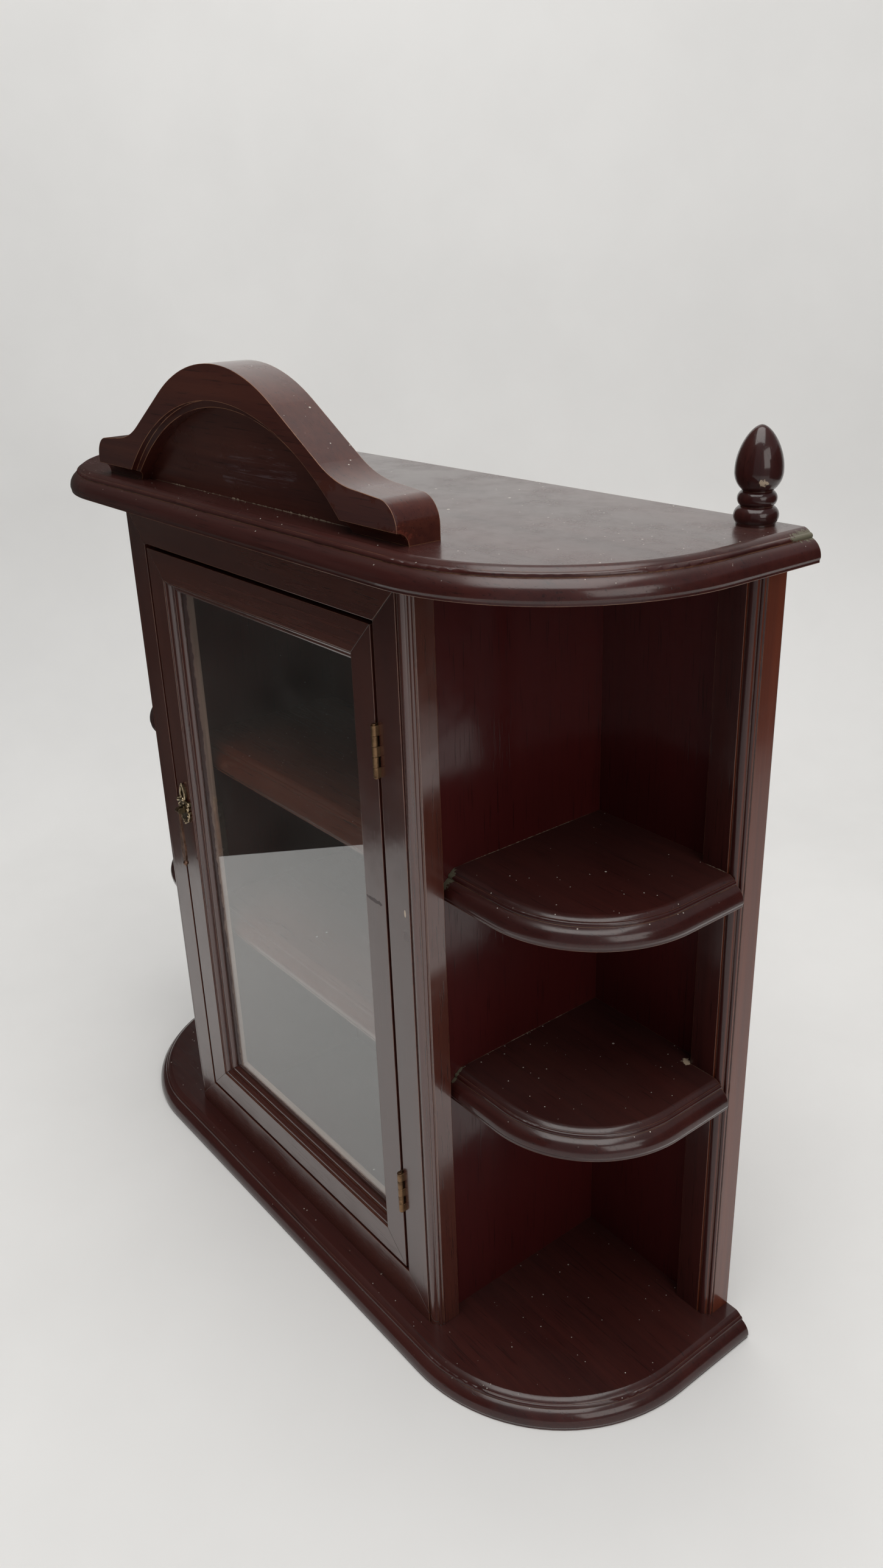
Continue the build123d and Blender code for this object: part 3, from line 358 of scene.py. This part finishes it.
# name of the node: its marks, each as (mask maker, colour, amount, roughness)
MARKS = {
    # The sideways faces of the posts are painted a lighter amber: painted light from the side.
    "left_back_post": ((painted_side_light, PAINTED_LIGHT_AMBER, 1.0, 0.0),),
    "right_back_post": ((painted_side_light, PAINTED_LIGHT_AMBER, 1.0, 0.0),),
    "frame_left_stile": (frame_joint,),
    "frame_right_stile": (
        frame_joint,
        (at_point(chip, (1.0 * MM, 2 * MM, 2.6 * MM), 0.1), BARE, 1.0, 0.5),
        (at_point(smudge, (3.5 * MM, 2 * MM, 3.5 * MM), 0.5), DARK, 0.7, 0.4),
    ),
    "frame_top_rail": (frame_joint,),
    "frame_bottom_rail": (frame_joint,),
    "door_left_stile": (door_joint,),
    "door_right_stile": (
        door_joint,
        (at_point(dent, (8 * MM, 2 * MM, 1.5 * MM), 0.7), BLACK_BROWN, 0.9, 0.6),
    ),
    "door_top_rail": (door_joint,),
    "door_bottom_rail": (door_joint,),
    "pediment_panel": (
        (streaks(strokes, (44 * MM, 5 * MM, 14 * MM), "x"), CHALK_STROKE, 0.45, 0.45),
    ),
    "pediment_arch": (
        (at_point(foot_chip, (5 * MM, 9 * MM, 5 * MM), 0.9), RED_CHIP, 0.6, 0.5),
        (at_point(foot_haze, (40 * MM, 3 * MM, 12 * MM), 0.9, 160.0), GREY_HAZE, 0.22, 0.3),
    ),
    "right_finial": (
        (at_point(egg_chip, (2.0 * MM, 3.5 * MM, 2.0 * MM), 0.5, 700.0), BARE, 0.9, 0.6),
    ),
    "top_board": (
        (at_point(top_stain, (12 * MM, 14 * MM, 2.5 * MM), 0.5), GREENISH, 0.85, 0.6),
        (at_point(top_haze, (160 * MM, 60 * MM, 3 * MM), 0.9, 24.0), CHALKY, 0.05, 0.26),
    ),
    "right_shelf_upper": (
        (at_point(upper_stain, (5 * MM, 8 * MM, 8 * MM), 0.5), GREENISH, 0.8, 0.6),
    ),
    "right_shelf_lower": (
        (at_point(lower_stain, (3 * MM, 7 * MM, 5 * MM), 0.6), GREENISH, 0.7, 0.6),
        (at_point(crumb, (3 * MM, 2.5 * MM, 3 * MM), 0.6), BARE, 0.9, 0.6),
    ),
}

# name of the node: direction of the grain, dark tone, light tone, gloss, wear, dust, figure
WOODEN = {
    "base_board": ("x", BLACK_BROWN, PLUM, 0.13, 0.5, 0.8, 0.5),
    "top_board": ("x", BLACK_BROWN, PLUM, 0.16, 0.7, 1.0, 0.5),
    "frame_left_stile": ("z", DARK, BROWN, 0.15, 0.5, 0.0, 0.5),
    "frame_right_stile": ("z", DARK, BROWN, 0.15, 0.5, 0.0, 0.7),
    "frame_top_rail": ("x", DARK, BROWN, 0.15, 0.4, 0.0, 0.5),
    "frame_bottom_rail": ("x", DARK, BROWN, 0.15, 0.4, 0.0, 0.5),
    "left_side_panel": ("z", DEEP, RED, 0.13, 0.2, 0.0, 0.25),
    "right_side_panel": ("z", DEEP, RED, 0.13, 0.2, 0.0, 0.25),
    "back_panel": ("z", DEEP, RED, 0.14, 0.2, 0.0, 0.25),
    "left_back_post": ("z", BLACK_BROWN, PLUM, 0.13, 0.5, 0.0, 0.5),
    "right_back_post": ("z", BLACK_BROWN, PLUM, 0.13, 0.5, 0.0, 0.5),
    # The inner shelves get lighter tones than the other shelves: painted light, for the light that
    # falls on them through the glass.
    "inner_shelf_lower": ("x", BROWN, PAINTED_LIGHT_AMBER, 0.14, 0.3, 0.4, 0.4),
    "inner_shelf_upper": ("x", BROWN, PAINTED_LIGHT_AMBER, 0.14, 0.3, 0.4, 0.4),
    "left_shelf_lower": ("x", BLACK_BROWN, PLUM, 0.13, 0.5, 1.0, 0.4),
    "left_shelf_upper": ("x", BLACK_BROWN, PLUM, 0.13, 0.5, 1.0, 0.4),
    "right_shelf_lower": ("x", BLACK_BROWN, PLUM, 0.13, 0.5, 1.0, 0.4),
    "right_shelf_upper": ("x", BLACK_BROWN, PLUM, 0.13, 0.5, 1.0, 0.4),
    "pediment_arch": ("x", DARK, BROWN, 0.16, 1.3, 1.0, 0.7),
    "pediment_panel": ("x", DARK, BROWN, 0.20, 0.3, 0.0, 0.6),
    "left_finial": ("z", BLACK_BROWN, PLUM, 0.12, 0.3, 0.0, 0.4),
    "right_finial": ("z", BLACK_BROWN, PLUM, 0.12, 0.3, 0.0, 0.4),
    "door_left_stile": ("z", DARK, BROWN, 0.14, 0.4, 0.0, 0.5),
    "door_right_stile": ("z", DARK, BROWN, 0.14, 0.4, 0.0, 0.5),
    "door_top_rail": ("x", DARK, BROWN, 0.14, 0.4, 0.0, 0.5),
    "door_bottom_rail": ("x", DARK, BROWN, 0.14, 0.4, 0.0, 0.5),
}


def dress(name, material):
    """Give a CAD node its finish through its material slots."""
    for slot in node_objects[name].material_slots:
        slot.material = material


# The frame, the door and the inner shelves mirror more strongly than the rest.
GLOSSY_PIECES = ("frame", "door", "inner_shelf")
GLOSSY_COAT_IOR, THIN_COAT_IOR = 1.85, 1.46
for index, (name, recipe) in enumerate(WOODEN.items()):
    grain, dark, light, gloss, wear, dust, figure = recipe
    coat = GLOSSY_COAT_IOR if name.startswith(GLOSSY_PIECES) else THIN_COAT_IOR
    finish = stained_wood(f"{name}_finish", grain, dark, light, 0.37 * index, gloss, wear, dust,
                          figure, coat, MARKS.get(name, ()))
    dress(name, finish)
print("stained members:", len(WOODEN))

# %% [markdown]
# ## Bare wood, glass, brass and steel
#
# The dowels and glazing beads were never lacquered. The pane is thin window glass: a
# clear shader that lets lamps through, because a sheet of real glass casts almost no
# shadow. The hinges are dulled rolled brass. The pull is cast brass with dark wax left
# in its hollows, which is why its raised edges look bright.

# %% Bare wood


def bare_wood(name, grain, tone, seed, stain=None):
    """Unfinished wood with visible grain, and stain where a mask says."""
    f = Finish(name, seed)
    fine = f.noise(300, 5, 0.65, 0.3, GRAIN[grain])
    broad = f.noise(40, 3, 0.5, 0.5, GRAIN[grain])
    colour = f.mix(f.span(fine, 0.35, 0.68), tuple(0.55 * c for c in tone), tone)
    colour = f.mix(f.span(broad, 0.4, 0.7, 0.0, 0.35), colour, tuple(0.4 * c for c in tone))
    if stain:
        colour = f.mix(stain(f), colour, DARK)
    normal = f.bump(fine, 0.08 * MM)
    f.surface(Base_Color=colour, Roughness=f.span(fine, 0.3, 0.7, 0.55, 0.8), Normal=normal)
    return f.material


def stained_edge(f):
    """Where the stain ran over the edge of a glazing bead, next to the glass."""
    glass_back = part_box("door_glass")[1].y
    wander = f.math("MULTIPLY", f.noise(90, 4, 0.7), 5.0 * MM)
    depth = f.math("SUBTRACT", f.part_of("Y"), wander)
    return f.span(depth, glass_back + 0.6 * MM, glass_back - 0.2 * MM)


BEECH = (0.42, 0.27, 0.14)
GREYED_WOOD = (0.34, 0.225, 0.175)
for index, name in enumerate(("top_dowels", "shelf_dowels", "pediment_dowels")):
    dress(name, bare_wood(f"{name}_finish", "z", BEECH, 3.1 + index))
for index, side in enumerate(("left", "right", "top", "bottom")):
    grain = "z" if side in ("left", "right") else "x"
    finish = bare_wood(f"glazing_bead_{side}_finish", grain, GREYED_WOOD, 5.3 + index, stained_edge)
    dress(f"glazing_bead_{side}", finish)

# %% Pane of glass
PANE_IOR = 1.88
GLASS_TINT = (0.97, 0.99, 0.98, 1.0)
GLASS_DUST = (0.62, 0.60, 0.57, 1.0)


def window_glass(name):
    """Clear glass with a faint film of dust that lets lamps through."""
    f = Finish(name)
    smears = f.span(f.noise(14, 5, 0.65, 0.8, (1, 1, 0.6)), 0.50, 0.78, 0.0, 0.010)
    glass = f.nodes.new("ShaderNodeBsdfPrincipled")
    f.put(glass.inputs["Base Color"], GLASS_TINT)
    f.put(glass.inputs["Roughness"], 0.0)
    f.put(glass.inputs["IOR"], PANE_IOR)
    f.put(glass.inputs["Transmission Weight"], 1.0)
    film = f.nodes.new("ShaderNodeBsdfDiffuse")
    f.put(film.inputs["Color"], GLASS_DUST)
    flecks = f.math("MULTIPLY", f.specks(9 * MM, 0.5 * MM, 0.3), 0.5)
    dusty = f.nodes.new("ShaderNodeMixShader")
    f.put(dusty.inputs[0], f.math("MAXIMUM", smears, flecks))
    f.links.new(glass.outputs[0], dusty.inputs[1])
    f.links.new(film.outputs[0], dusty.inputs[2])
    open_air = f.nodes.new("ShaderNodeBsdfTransparent")
    path = f.nodes.new("ShaderNodeLightPath")
    through = f.nodes.new("ShaderNodeMixShader")
    passing = f.math("MAXIMUM", path.outputs["Is Shadow Ray"], path.outputs["Is Diffuse Ray"])
    f.put(through.inputs[0], passing)
    f.links.new(dusty.outputs[0], through.inputs[1])
    f.links.new(open_air.outputs[0], through.inputs[2])
    f.links.new(through.outputs[0], f.output.inputs[0])
    return f.material


dress("door_glass", window_glass("door_glass_finish"))

# %% Brass, steel, plastic and ferrite


def metal(name, bright, tarnished, seed, spread=0.5, rough=0.32, edge=0.35 * MM):
    """Metal with tarnish in patches and brighter rubbed edges."""
    f = Finish(name, seed)
    patches = f.span(f.noise(160, 5, 0.65), 0.5 - 0.3 * spread, 0.75)
    fine = f.noise(1500, 3, 0.6)
    arris, soft_normal = f.edges(edge)
    colour = f.mix(patches, bright, tarnished)
    worn = tuple(min(1.0, 1.25 * c) for c in bright)
    colour = f.mix(f.math("MULTIPLY", arris, 0.8), colour, worn)
    polish = f.span(patches, 0, 1, rough, rough + 0.22)
    roughness = f.math("ADD", polish, f.math("MULTIPLY", fine, 0.08))
    normal = f.bump(fine, 0.02 * MM, f.bump(f.noise(500, 3, 0.6), 0.05 * MM, soft_normal))
    f.surface(Base_Color=colour, Metallic=1.0, Roughness=roughness, Normal=normal)
    return f.material


HINGE_BRASS = ((0.25, 0.150, 0.080), (0.070, 0.040, 0.024))
PULL_BRASS = ((0.16, 0.12, 0.07), (0.018, 0.013, 0.010))
DROP_BRASS = ((0.260, 0.150, 0.105), (0.060, 0.032, 0.024))
STEEL = ((0.55, 0.54, 0.50), (0.28, 0.26, 0.22))
METAL = {
    "upper_hinge_frame_leaf": HINGE_BRASS, "lower_hinge_frame_leaf": HINGE_BRASS,
    "upper_hinge_door_leaf": HINGE_BRASS, "lower_hinge_door_leaf": HINGE_BRASS,
    "upper_hinge_pin": HINGE_BRASS, "lower_hinge_pin": HINGE_BRASS,
    "hinge_frame_screws": HINGE_BRASS, "hinge_door_screws": HINGE_BRASS,
    "pull_plate": PULL_BRASS, "plate_pins": PULL_BRASS, "pull_stud": PULL_BRASS,
    "pull_drop": DROP_BRASS,
    "keyhole_hangers": HINGE_BRASS, "hanger_screws": STEEL, "base_screws": STEEL, "pull_nut": STEEL,
    "catch_screws": STEEL, "strike_plate": STEEL, "strike_screws": STEEL,
}
for index, (name, (bright, tarnished)) in enumerate(METAL.items()):
    dress(name, metal(f"{name}_finish", bright, tarnished, 0.53 * index))


def moulded(name, tone, rough, seed):
    """Moulded plastic or pressed ferrite: a fine even texture with faint mottling."""
    f = Finish(name, seed)
    fine = f.noise(2200, 2, 0.5)
    colour = f.mix(f.span(f.noise(90, 3, 0.6), 0.35, 0.7), tone, tuple(0.7 * c for c in tone))
    arris, soft_normal = f.edges(0.4 * MM)
    colour = f.mix(f.math("MULTIPLY", arris, 0.3), colour, tuple(min(1.0, 1.6 * c) for c in tone))
    f.surface(Base_Color=colour, Roughness=f.span(fine, 0.3, 0.7, rough, rough + 0.1),
              Normal=f.bump(fine, 0.02 * MM, soft_normal))
    return f.material


dress("catch_body", moulded("catch_body_finish", (0.060, 0.030, 0.018), 0.42, 1.0))
dress("catch_magnet", moulded("catch_magnet_finish", (0.022, 0.022, 0.024), 0.55, 2.0))


def dressed(node):
    """True when every material slot of the node holds one of the finishes above."""
    finishes = [slot.material for slot in node.material_slots]
    return all(finish and finish.name.endswith("_finish") for finish in finishes)


print("nodes without a finish:", [n for n, node in node_objects.items() if not dressed(node)])

# %% [markdown]
# ## The cast ornament of the pull
#
# The plate behind the drop is a small casting: a pierced loop at the top, a bar with
# round ends, scrolls at both sides and a lobe below, round the boss that the drop hangs
# from. A caster would press all of this into sand in one go. Here rods and beads are laid
# on the plate and fused with a fine voxel remesh, which rounds every inside corner just
# as cast metal does.

# %% Rods and beads
plate_low, plate_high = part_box("pull_plate")
stud_low, stud_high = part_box("pull_stud")
pivot = Vector(((plate_low.x + plate_high.x) / 2, plate_low.y, (stud_low.z + stud_high.z) / 2))


def new_piece(name, mesh, material, body):
    """Turn a bmesh into a smooth-shaded piece that rides on a body."""
    data = bpy.data.meshes.new(name)
    mesh.to_mesh(data)
    mesh.free()
    for face in data.polygons:
        face.use_smooth = True
    data.materials.append(material)
    piece = bpy.data.objects.new(name, data)
    bpy.context.collection.objects.link(piece)
    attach(piece, body)
    return piece


def add_bead(mesh, x, rise, radius, height=0.8):
    """A domed bead on the plate; x and rise are in mm from the pivot."""
    middle = pivot + Vector((x * MM, 0, rise * MM))
    squash = Matrix.Diagonal((1.0, height, 1.0, 1.0))
    place = Matrix.Translation(middle) @ squash
    bmesh.ops.create_icosphere(mesh, subdivisions=3, radius=radius * MM, matrix=place)


def add_rod(mesh, points, radius):
    """A chain of overlapping beads along a smooth line, close enough to fuse into a rod."""
    knots = [Vector((x, 0, z)) for x, z in points]
    for index in range(len(knots) - 1):
        p0 = knots[max(index - 1, 0)]
        p1, p2 = knots[index], knots[index + 1]
        p3 = knots[min(index + 2, len(knots) - 1)]
        steps = max(2, math.ceil((p2 - p1).length / (0.45 * radius)))
        for step in range(steps + 1):
            t = step / steps
            place = 0.5 * (2 * p1 + (p2 - p0) * t + (2 * p0 - 5 * p1 + 4 * p2 - p3) * t**2
                           + (3 * p1 - p0 - 3 * p2 + p3) * t**3)
            add_bead(mesh, place.x, place.z, radius, 1.0)


# %% Cast the ornament
# Each rod is (thickness, its points) and each bead (x, rise, radius), in mm from the pivot.
LOOP = (0.75, ((-3.3, 8.6), (-3.0, 12.0), (-1.5, 16.6), (0.0, 18.6), (1.5, 16.6), (3.0, 12.0),
               (3.3, 8.6)))
BAR = (0.85, ((-7.4, 5.6), (-3.6, 6.3), (0.0, 5.4), (3.6, 6.3), (7.4, 5.6)))
SCROLLS = (
    (0.65, ((4.6, 4.2), (7.0, 2.4), (6.0, 0.0), (4.6, 1.0))),
    (0.65, ((4.4, -1.4), (7.2, -2.2), (6.6, -5.2), (4.8, -4.2))),
    (0.6, ((4.2, -6.4), (5.2, -8.2), (3.2, -9.0), (1.9, -10.4))),
)
SIDE_BEADS = ((7.6, 5.6, 1.5), (2.3, 9.2, 1.0), (3.1, 12.6, 0.85), (5.6, -6.2, 1.0))
MIDDLE_BEADS = ((0.0, 19.0, 1.2), (0.0, 7.6, 1.5), (0.0, -10.9, 1.0), (0.0, 4.4, 1.1))
CAST_BRIGHT, CAST_DARK = (0.62, 0.50, 0.33), (0.030, 0.022, 0.016)

ornament = bmesh.new()
for thickness, points in (LOOP, BAR):
    add_rod(ornament, points, thickness)
for side in (-1, 1):
    for thickness, points in SCROLLS:
        add_rod(ornament, [(side * x, rise) for x, rise in points], thickness)
    for x, rise, radius in SIDE_BEADS:
        add_bead(ornament, side * x, rise, radius)
for x, rise, radius in MIDDLE_BEADS:
    add_bead(ornament, x, rise, radius)
cast_brass = metal("pull_ornament_finish", CAST_BRIGHT, CAST_DARK, 7.7, 0.4, 0.22, 0.5 * MM)
ornament_piece = new_piece("pull_ornament", ornament, cast_brass, "door")
fuse = ornament_piece.modifiers.new("fuse", "REMESH")
fuse.mode = "VOXEL"
fuse.voxel_size = 0.16 * MM
fuse.use_smooth_shade = True
soften = ornament_piece.modifiers.new("soften", "SMOOTH")
soften.factor = 0.5
soften.iterations = 3
print("ornament, mm:", [round(c / MM, 1) for c in ornament_piece.dimensions])

# %% [markdown]
# ## Glue at the joints
#
# The tympanum was glued in by hand, and glue and dust dried in a ragged thread along its
# foot. Threads like it lie where the right-hand shelves meet the wall and the post. Each
# is a thin fillet whose width wanders, pinched out here and there.

# %% Threads of glue
chance = random.Random(11)
DRIED_GLUE = (0.21, 0.155, 0.105)
glue_finish = bare_wood("dried_glue_finish", "x", DRIED_GLUE, 9.1)


def glue_thread(name, start, end, out, width):
    """A ragged fillet from start to end; out points away from the upright face, level."""
    start, end = Vector(start), Vector(end)
    up = Vector((0, 0, 1))
    sunk = 0.1 * MM
    count = max(8, int((end - start).length / (1.1 * MM)))
    mesh = bmesh.new()
    rings = []
    swell = 0.5
    for step in range(count + 1):
        swell = min(1.0, max(0.12, swell + chance.uniform(-0.30, 0.30)))
        taper = min(1.0, 6 * step / count, 6 * (count - step) / count)
        pinch = 1.0 if chance.random() < 0.62 else 0.2
        reach = width * max(0.10, swell * taper * pinch)
        foot = start.lerp(end, step / count)
        ring = (foot - out * sunk - up * sunk, foot + out * reach - up * sunk,
                foot + out * 0.45 * reach + up * 0.42 * reach, foot - out * sunk + up * 0.9 * reach)
        rings.append([mesh.verts.new(point) for point in ring])
    for low, high in zip(rings, rings[1:]):
        for index in range(4):
            after = (index + 1) % 4
            mesh.faces.new((low[index], low[after], high[after], high[index]))
    mesh.faces.new(rings[0][::-1])
    mesh.faces.new(rings[-1])
    bmesh.ops.recalc_face_normals(mesh, faces=mesh.faces)
    return new_piece(name, mesh, glue_finish, "cabinet")


front = Vector((0, -1, 0))
outward = Vector((1, 0, 0))
glue_thread("glue_under_tympanum", (panel_low.x + 8 * MM, panel_low.y, panel_low.z),
            (panel_high.x - 8 * MM, panel_low.y, panel_low.z), front, 0.9 * MM)
wall_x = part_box("right_side_panel")[1].x
post_low, post_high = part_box("right_back_post")
WALL_THREAD_FRONT, WALL_THREAD_BACK = -0.030, 0.070
for level, shelf in (("upper", shelf_high), ("lower", lower_high)):
    glue_thread(f"glue_by_{level}_shelf_wall", (wall_x, WALL_THREAD_FRONT, shelf.z),
                (wall_x, WALL_THREAD_BACK, shelf.z), outward, 0.4 * MM)
    glue_thread(f"glue_by_{level}_shelf_post", (post_low.x + 2 * MM, post_low.y, shelf.z),
                (post_high.x - 8 * MM, post_low.y, shelf.z), front, 0.5 * MM)
print("glue threads laid")

# %% [markdown]
# ## The studio
#
# The case stands on a pale paper sweep: a floor that curves up into a wall. Large soft
# lights above and to the right give the paper its even tone and leave only a faint
# contact shadow. Lacquer and glass are mostly seen by what they mirror. In front of the
# door, out of view, the paper ends and the room is dark. A dark card that only mirrors
# can see stands there, and the paper in front of it shows in the lower half of the pane.
# A lower card behind the case at the right does the same for the side shelves.

# %% Paper sweep
VIEW_AZIMUTH = math.radians(52.32)
away = Vector((-math.sin(VIEW_AZIMUTH), math.cos(VIEW_AZIMUTH), 0.0))
across = Vector((math.cos(VIEW_AZIMUTH), math.sin(VIEW_AZIMUTH), 0.0))


def paper_sweep(flat_reach=0.62, bend=0.35, height=2.6, near=3.0, half_width=3.2, steps=24):
    """A floor, a quarter-round bend and a wall in one smooth sheet."""
    line = [(-near, 0.0), (flat_reach * 0.5, 0.0), (flat_reach, 0.0)]
    for step in range(1, steps + 1):
        turn = 0.5 * math.pi * step / steps
        line.append((flat_reach + bend * math.sin(turn), bend * (1 - math.cos(turn))))
    line.append((flat_reach + bend, height))
    mesh = bmesh.new()
    rows = []
    for distance, rise in line:
        middle = away * distance + Vector((0, 0, rise))
        rows.append([mesh.verts.new(middle + across * side) for side in (-half_width, half_width)])
    for low, high in zip(rows, rows[1:]):
        mesh.faces.new((low[0], low[1], high[1], high[0]))
    data = bpy.data.meshes.new("paper_sweep")
    mesh.to_mesh(data)
    mesh.free()
    for face in data.polygons:
        face.use_smooth = True
    sweep = bpy.data.objects.new("paper_sweep", data)
    bpy.context.collection.objects.link(sweep)
    return sweep


sweep = paper_sweep()
PAPER_DULL, PAPER_BRIGHT = (0.80, 0.795, 0.785), (0.84, 0.835, 0.825)
PAPER_SCUFF = (0.42, 0.40, 0.37)
paper = Finish("paper_finish")
mottle = paper.noise(3, 4, 0.6)
scuffs = paper.math("MULTIPLY", paper.specks(60 * MM, 2.0 * MM, 0.10), 0.35)
tint = paper.mix(paper.span(mottle, 0.3, 0.7), PAPER_DULL, PAPER_BRIGHT)
tint = paper.mix(scuffs, tint, PAPER_SCUFF)
ripple = paper.bump(paper.noise(5, 3, 0.5), 2 * MM)
paper_front = paper.surface(Base_Color=tint, Roughness=0.75, Normal=ripple)
# From behind, the wall of the sweep would hide the case, so its back is see-through.
backing = paper.nodes.new("ShaderNodeNewGeometry").outputs["Backfacing"]
see_through = paper.nodes.new("ShaderNodeBsdfTransparent")
one_sided = paper.nodes.new("ShaderNodeMixShader")
paper.put(one_sided.inputs[0], backing)
paper.links.new(paper_front.outputs[0], one_sided.inputs[1])
paper.links.new(see_through.outputs[0], one_sided.inputs[2])
paper.links.new(one_sided.outputs[0], paper.output.inputs[0])
sweep.data.materials.append(paper.material)
print("sweep ready")

# %% Dark cards seen only in mirrors


def card(name, middle, facing, width, height, tone):
    """A flat card standing upright, for the lacquer and glass to mirror."""
    side = Vector((0, 0, 1)).cross(facing).normalized()
    corners = [middle + side * (across_by * width / 2) + Vector((0, 0, up_by * height))
               for across_by, up_by in ((-1, 0), (1, 0), (1, 1), (-1, 1))]
    data = bpy.data.meshes.new(name)
    data.from_pydata([tuple(c) for c in corners], [], [(0, 1, 2, 3)])
    piece = bpy.data.objects.new(name, data)
    bpy.context.collection.objects.link(piece)
    f = Finish(f"{name}_finish")
    cloudy = f.mix(f.span(f.noise(4, 3, 0.5), 0.35, 0.65), tone, tuple(0.4 * c for c in tone))
    f.surface(Base_Color=cloudy, Roughness=0.9, Specular_IOR_Level=0.1)
    data.materials.append(f.material)
    piece.visible_camera = False
    piece.visible_diffuse = False
    piece.visible_shadow = False


# Each card is (name, middle of its foot, the way it faces, width, height, tone).
CARDS = (
    ("dark_room_card", (-0.50, -0.40, 0.0), (0.85, 0.52, 0.0), 5.0, 2.6, (0.085, 0.080, 0.074)),
    ("dark_aisle_card", (0.98, 0.72, 0.0), (-0.80, -0.60, 0.0), 1.7, 0.9, (0.040, 0.036, 0.032)),
)
for name, foot, facing, width, height, tone in CARDS:
    card(name, Vector(foot), Vector(facing), width, height, tone)
print("cards:", len(CARDS))

# %% Lights
AIR_TONE, AIR_STRENGTH = (0.93, 0.96, 1.0, 1.0), 0.22
world = bpy.data.worlds.new("studio_air")
world.use_nodes = True
world.node_tree.nodes["Background"].inputs[0].default_value = AIR_TONE
world.node_tree.nodes["Background"].inputs[1].default_value = AIR_STRENGTH
bpy.context.scene.world = world


def soft_light(name, place, aim, size, power, tone):
    """A square soft light aimed at a point."""
    data = bpy.data.lights.new(name, "AREA")
    data.shape = "SQUARE"
    data.size = size
    data.energy = power
    data.color = tone
    lamp = bpy.data.objects.new(name, data)
    lamp.location = place
    lamp.rotation_euler = (Vector(aim) - Vector(place)).to_track_quat("-Z", "Y").to_euler()
    bpy.context.collection.objects.link(lamp)


# Each lamp is (name, place, aim, width in metres, watts, tone).
LAMPS = (
    ("overhead_softbox", (0.3, -0.3, 2.2), (0.0, 0.1, 0.2), 1.8, 36.0, (1.0, 0.985, 0.96)),
    ("right_softbox", (1.9, -0.3, 1.1), (0.1, 0.0, 0.3), 1.1, 9.0, (1.0, 0.97, 0.93)),
)
for lamp_values in LAMPS:
    soft_light(*lamp_values)
print("lamps:", len(LAMPS))

# %% [markdown]
# ## The camera
#
# The view is that of someone standing at the case's front right corner with a
# wide-angle phone lens, looking down. The camera leans a little, as a hand-held one
# does. A wide lens this near makes the far uprights converge, so the lens and the place
# matter more than usual.

# %% Camera
ELEVATION = math.radians(23.55)
LEAN = math.radians(-2.02)
EYE = (0.6218, -0.4076, 0.6484)
SENSOR_MM, LENS_MM = 36.0, 27.86
camera_data = bpy.data.cameras.new("viewer")
camera_data.sensor_width = SENSOR_MM
camera_data.lens = LENS_MM
camera_data.clip_start = 0.01
camera = bpy.data.objects.new("viewer", camera_data)
turn = Matrix.Rotation(VIEW_AZIMUTH, 4, "Z") @ Matrix.Rotation(math.pi / 2 - ELEVATION, 4, "X")
turn = turn @ Matrix.Rotation(LEAN, 4, "Z")
camera.matrix_world = Matrix.Translation(EYE) @ turn
bpy.context.collection.objects.link(camera)
bpy.context.scene.camera = camera
bpy.context.scene.view_settings.view_transform = "Standard"
print("camera at", [round(c, 3) for c in camera.matrix_world.translation])
